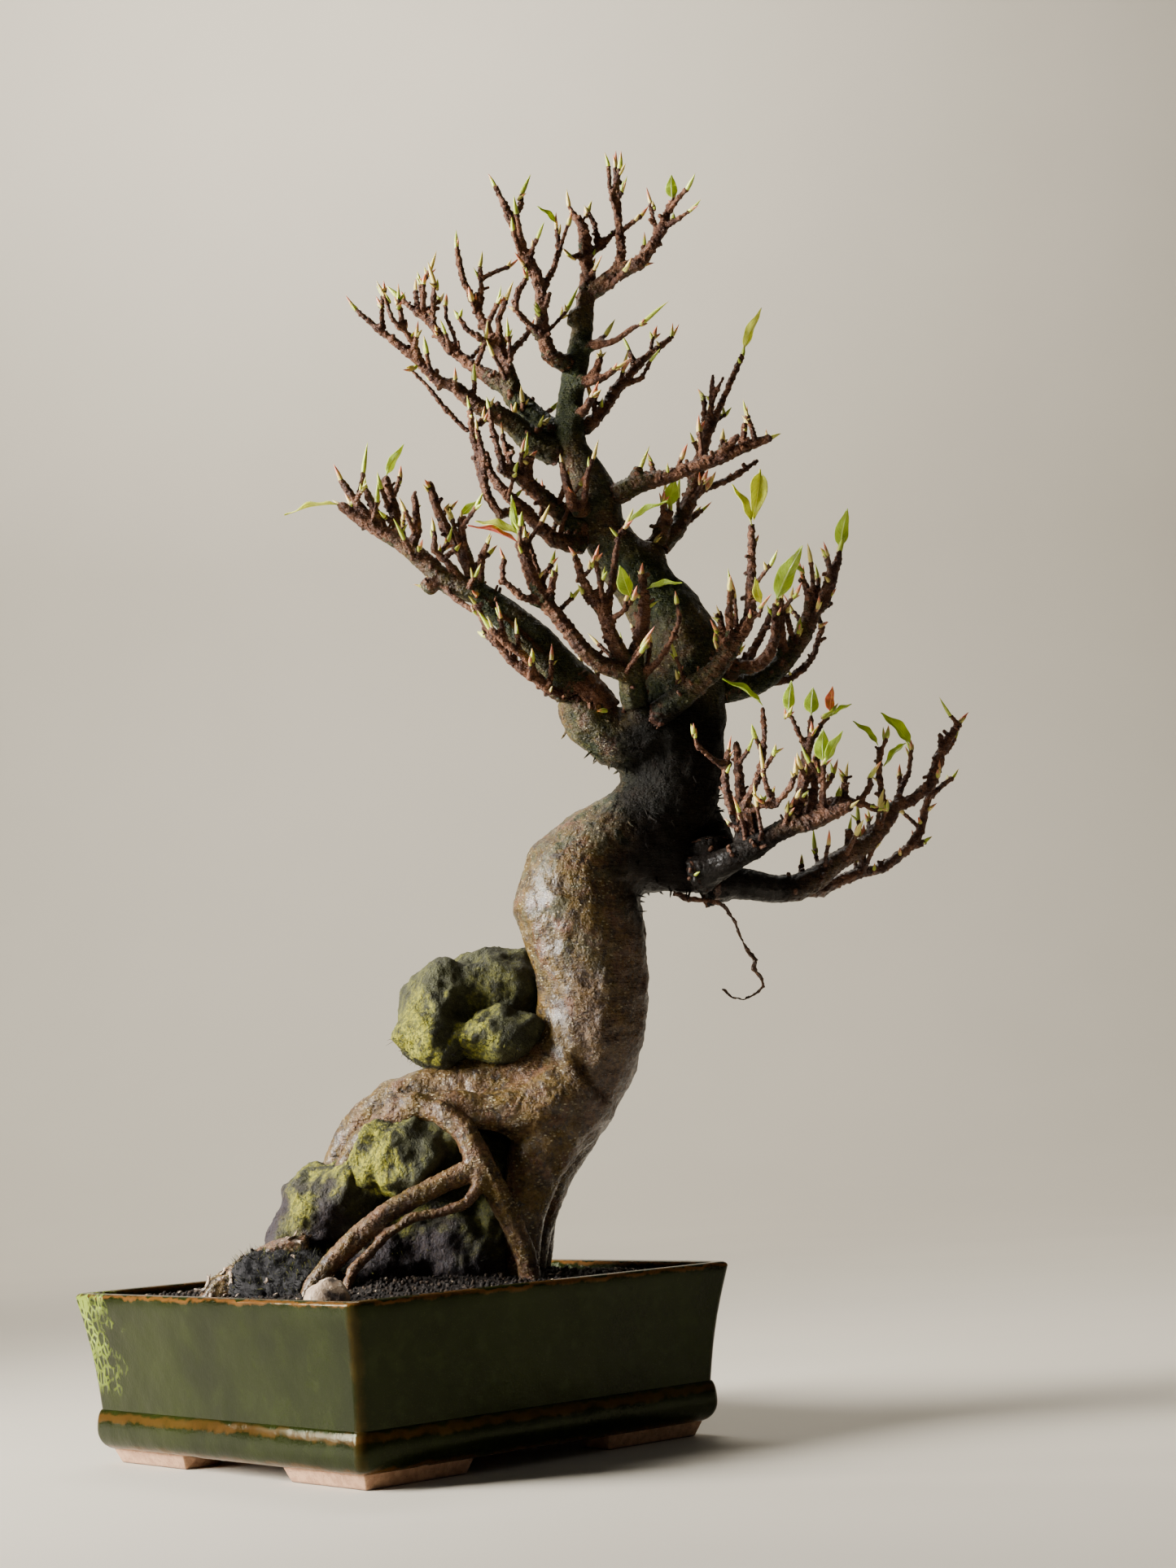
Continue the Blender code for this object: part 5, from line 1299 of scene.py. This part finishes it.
def extruded_pot(profile):
    """A square extruded up through the profile's rings, left in edit mode."""
    height, half = profile[0]
    bpy.ops.object.select_all(action="DESELECT")
    bpy.ops.mesh.primitive_plane_add(size=2 * half, location=(POT_MIDDLE.x, POT_MIDDLE.y, height))
    pot = bpy.context.object
    pot.name = "glazed_pot"
    bpy.ops.object.transform_apply(location=True, rotation=True, scale=True)
    bpy.ops.object.mode_set(mode="EDIT")
    bpy.ops.mesh.select_all(action="SELECT")
    for (low, narrow), (high, wide) in zip(profile, profile[1:]):
        bpy.ops.mesh.extrude_region_move(TRANSFORM_OT_translate={"value": (0, 0, high - low)})
        share = wide / narrow
        middle = (POT_MIDDLE.x, POT_MIDDLE.y, high)
        bpy.ops.transform.resize(value=(share, share, 1), center_override=middle)
    bpy.ops.mesh.select_all(action="SELECT")
    bpy.ops.mesh.normals_make_consistent(inside=False)
    return pot


def round_uprights(pot, corner):
    """Bevels the edges that climb the pot's four corners, and leaves edit mode."""
    bpy.ops.mesh.select_all(action="DESELECT")
    bpy.ops.mesh.select_mode(type="EDGE")
    bm = bmesh.from_edit_mesh(pot.data)
    for edge in bm.edges:
        a, b = (v.co - POT_MIDDLE for v in edge.verts)
        edge.select = a.x * b.x > 0 and a.y * b.y > 0
    bmesh.update_edit_mesh(pot.data)
    bpy.ops.mesh.bevel(offset=corner, segments=6, affect="EDGES")
    bpy.ops.object.mode_set(mode="OBJECT")


def drill_drains(pot, s):
    for side in (-1, 1):
        place = (POT_MIDDLE.x + side * s.drain_spacing / 2, POT_MIDDLE.y, s.foot_height)
        bpy.ops.object.select_all(action="DESELECT")
        bpy.ops.mesh.primitive_cylinder_add(vertices=40, radius=s.drain, depth=0.05, location=place)
        drill = bpy.context.object
        apply_modifier(pot, "BOOLEAN", operation="DIFFERENCE", object=drill, solver="EXACT")
        bpy.data.objects.remove(drill)


def make_feet():
    """Four L-shaped feet of bare clay under the corners, slanted at their ends and towards the floor."""
    s = settings("pot")
    outer = POT_HALF - s.foot_inset
    arm = outer - s.foot_gap / 2
    middle = outer - s.foot_width / 2
    bpy.ops.object.select_all(action="DESELECT")
    bpy.ops.mesh.primitive_cube_add(size=s.foot_width, location=(middle, middle, s.foot_height / 2))
    foot = bpy.context.object
    foot.name = "pot_feet"
    bpy.ops.object.transform_apply(location=True, rotation=True, scale=True)
    bpy.ops.object.mode_set(mode="EDIT")
    bpy.ops.mesh.select_all(action="SELECT")
    tall = (s.foot_height + 0.0006) / s.foot_width
    bpy.ops.transform.resize(value=(1, 1, tall), center_override=(middle, middle, 0))
    bpy.ops.transform.translate(value=(0, 0, (s.foot_width * tall - s.foot_height * tall) / 2))
    for axis in (0, 1):
        inward = middle - 0.002
        pick_faces(foot, lambda f: f.normal[axis] < -0.9 and f.calc_center_median()[1 - axis] > inward)
        step = [0.0, 0.0, 0.0]
        step[axis] = s.foot_width - arm
        bpy.ops.mesh.extrude_region_move(TRANSFORM_OT_translate={"value": step})
    bm = bmesh.from_edit_mesh(foot.data)
    low = min(v.co.z for v in bm.verts)
    high = max(v.co.z for v in bm.verts)
    for vert in bm.verts:
        raised = vert.co.z > (low + high) / 2
        for axis in (0, 1):
            if raised and vert.co[axis] > outer - 0.001:
                vert.co[axis] += s.foot_inset - s.base_inset - 0.0004
            if raised and vert.co[axis] < outer - arm + 0.001:
                vert.co[axis] -= 0.003
        vert.co.z = s.foot_height + 0.0006 if raised else 0.0
    bmesh.update_edit_mesh(foot.data)
    bpy.ops.mesh.select_all(action="SELECT")
    bpy.ops.mesh.normals_make_consistent(inside=False)
    bpy.ops.mesh.bevel(offset=0.0009, segments=3, affect="EDGES")
    bpy.ops.object.mode_set(mode="OBJECT")
    feet = [foot]
    for quarter in (1, 2, 3):
        other = bpy.data.objects.new("pot_foot", foot.data.copy())
        bpy.context.scene.collection.objects.link(other)
        other.data.transform(Matrix.Rotation(quarter * math.pi / 2, 4, "Z"))
        feet.append(other)
    use(*feet)
    bpy.ops.object.join()
    foot.data.transform(Matrix.Translation((POT_MIDDLE.x, POT_MIDDLE.y, 0)))
    bpy.ops.object.shade_smooth_by_angle(angle=math.radians(40))
    deliver(foot, material("clay", clay_material), "glaze", *FEET)


def pick_faces(obj, wanted):
    """Selects the faces that are wanted of the mesh in edit mode, and no others."""
    bpy.ops.mesh.select_mode(type="FACE")
    bpy.ops.mesh.select_all(action="DESELECT")
    bm = bmesh.from_edit_mesh(obj.data)
    for face in bm.faces:
        face.select = wanted(face)
    bmesh.update_edit_mesh(obj.data)


class BONSAI_OT_screens(bpy.types.Operator):
    """Gives the drainage screens their plastic"""

    bl_idname = "bonsai.screens"
    bl_label = "Drainage screens"

    def execute(self, context):
        for node in ("drain_screen_1", "drain_screen_2"):
            NODES[node].data.materials.clear()
            NODES[node].data.materials.append(material("plastic", plastic_material))
        return {"FINISHED"}


# ---- Stage ---------------------------------------------------------------------------------------


def add_light(name, place, aim, size, power, tint, spread=180):
    bpy.ops.object.select_all(action="DESELECT")
    bpy.ops.object.light_add(type="AREA", location=place)
    light = bpy.context.object
    light.name = name
    light.data.shape = "RECTANGLE"
    light.data.size, light.data.size_y = size
    light.data.energy = power
    light.data.spread = math.radians(spread)
    light.data.color = tint
    light.rotation_euler = (aim - place).to_track_quat("-Z", "Y").to_euler()
    return light


class BONSAI_OT_stage(bpy.types.Operator):
    """Adds a pale floor with a backdrop, a window light from the left, a soft fill and the camera"""

    bl_idname = "bonsai.stage"
    bl_label = "Stage"

    def execute(self, context):
        s = settings("stage")
        centre = Vector((POT_MIDDLE.x, POT_MIDDLE.y, 0))
        yaw, pitch, roll = CAMERA_TURN
        right = Vector((math.cos(yaw), -math.sin(yaw), 0))
        level = Vector((math.sin(yaw), math.cos(yaw), 0))
        ahead = level * math.cos(pitch) + Vector((0, 0, math.sin(pitch)))
        self.add_floor(s, centre, level)
        middle = centre + Vector((0, 0, 0.36))
        window = middle - right * 1.55 - level * 0.30 + Vector((0, 0, 0.50))
        add_light("window", window, middle, (0.8, 1.2), s.window, (1.0, 0.97, 0.91), 75)
        glint = add_light("glint", window, middle, (0.4, 1.0), s.glint, (0.94, 0.97, 1.0))
        glint.visible_diffuse = False
        wall = middle + level * 3.3 + Vector((0, 0, 0.3))
        above = middle + level * 1.7 - right * 0.4 + Vector((0, 0, 2.4))
        add_light("wash", above, wall, (2.0, 0.8), s.wash, (1, 0.96, 0.88))
        front = middle - right * 0.5 - level * 1.9 + Vector((0, 0, 0.9))
        add_light("fill", front, middle, (1.6, 1.2), s.fill, (1.0, 0.96, 0.90))
        aside = middle + right * 0.85 - level * 0.45
        self.add_flag(aside + Vector((0, 0, 0.20)), middle)
        world = bpy.data.worlds.new("room")
        world.use_nodes = True
        room = world.node_tree.nodes["Background"].inputs
        room["Color"].default_value = (0.86, 0.84, 0.80, 1)
        room["Strength"].default_value = s.sky
        context.scene.world = world
        self.add_camera(s, centre, right, ahead, roll)
        return {"FINISHED"}

    def add_camera(self, s, centre, right, ahead, roll):
        over = right.cross(ahead)
        across = right * math.cos(roll) + over * math.sin(roll)
        up = over * math.cos(roll) - right * math.sin(roll)
        bpy.ops.object.camera_add()
        camera = bpy.context.object
        camera.matrix_world = Matrix.Translation(centre + Vector(CAMERA_FROM_POT)) @ Matrix(
            (across, up, -ahead)).transposed().to_4x4()
        camera.data.sensor_fit = "VERTICAL"
        camera.data.sensor_height = 36
        camera.data.lens = s.lens
        camera.data.clip_start = 0.01
        bpy.context.scene.camera = camera

    def add_flag(self, place, aim):
        """A black board out of the picture, which keeps the side away from the window dark."""
        bpy.ops.object.select_all(action="DESELECT")
        bpy.ops.mesh.primitive_plane_add(size=1, location=(0, 0, 0))
        flag = bpy.context.object
        flag.name = "flag"
        flag.data.transform(Matrix.Diagonal((1.5, 1.1, 1, 1)))
        turn = (aim - place).to_track_quat("Z", "Y").to_matrix().to_4x4()
        flag.data.transform(Matrix.Translation(place) @ turn)
        flag.data.materials.append(Paint("flag").finish(base_color=(0.004, 0.004, 0.004, 1), roughness=0.9))
        flag.visible_camera = False

    def add_floor(self, s, centre, level):
        """A floor that curves up into a backdrop on the far side."""
        bpy.ops.object.select_all(action="DESELECT")
        bpy.ops.mesh.primitive_plane_add(size=12, location=(0, 0, 0))
        floor = bpy.context.object
        floor.name = "floor"
        floor.data.transform(Matrix.Rotation(-math.atan2(level.x, level.y), 4, "Z"))
        floor.data.transform(Matrix.Translation(centre + level * -2.6))
        bpy.ops.object.mode_set(mode="EDIT")
        bpy.ops.mesh.select_all(action="DESELECT")
        bpy.ops.mesh.select_mode(type="EDGE")
        bm = bmesh.from_edit_mesh(floor.data)
        back = max(bm.edges, key=lambda e: sum((v.co.dot(level) for v in e.verts)))
        back.select = True
        bmesh.update_edit_mesh(floor.data)
        bpy.ops.mesh.extrude_region_move(TRANSFORM_OT_translate={"value": (0, 0, 5)})
        bpy.ops.mesh.select_all(action="DESELECT")
        bm = bmesh.from_edit_mesh(floor.data)
        for edge in bm.edges:
            edge.select = len(edge.link_faces) == 2
        bmesh.update_edit_mesh(floor.data)
        bpy.ops.mesh.bevel(offset=1.2, segments=16, affect="EDGES")
        bpy.ops.object.mode_set(mode="OBJECT")
        floor.data.shade_smooth()
        p = Paint("floor")
        base = p.mix(p.span(p.noise(3, 3), 0.3, 0.7), s.floor, tuple(c * 0.97 for c in s.floor[:3]) + (1,))
        floor.data.materials.append(p.finish(base_color=base, roughness=0.7))


OPERATORS = (
    BONSAI_OT_trunk, BONSAI_OT_branches, BONSAI_OT_side_shoots, BONSAI_OT_buds, BONSAI_OT_rootlets,
    BONSAI_OT_leaves, BONSAI_OT_stones, BONSAI_OT_soil, BONSAI_OT_moss, BONSAI_OT_litter, BONSAI_OT_pot,
    BONSAI_OT_screens, BONSAI_OT_stage,
)


class BONSAI_PT_panel(bpy.types.Panel):
    """Lists the bonsai's pieces in the order they are made"""

    bl_idname = "BONSAI_PT_panel"
    bl_label = "Bonsai"
    bl_space_type = "VIEW_3D"
    bl_region_type = "UI"
    bl_category = "Bonsai"

    def draw(self, context):
        for operator in OPERATORS:
            self.layout.operator(operator.bl_idname)
        for name, group in SETTINGS.items():
            box = self.layout.box()
            for prop in group.__annotations__:
                box.prop(getattr(context.scene, name), prop)


def register():
    for name, group in SETTINGS.items():
        bpy.utils.register_class(group)
        setattr(bpy.types.Scene, name, PointerProperty(type=group))
    for cls in (*OPERATORS, BONSAI_PT_panel):
        bpy.utils.register_class(cls)


def unregister():
    for cls in (BONSAI_PT_panel, *reversed(OPERATORS)):
        bpy.utils.unregister_class(cls)
    for name, group in reversed(SETTINGS.items()):
        delattr(bpy.types.Scene, name)
        bpy.utils.unregister_class(group)


def main():
    register()
    for operator in OPERATORS:
        family, _, name = operator.bl_idname.partition(".")
        getattr(getattr(bpy.ops, family), name)()


if __name__ == "__main__":
    main()
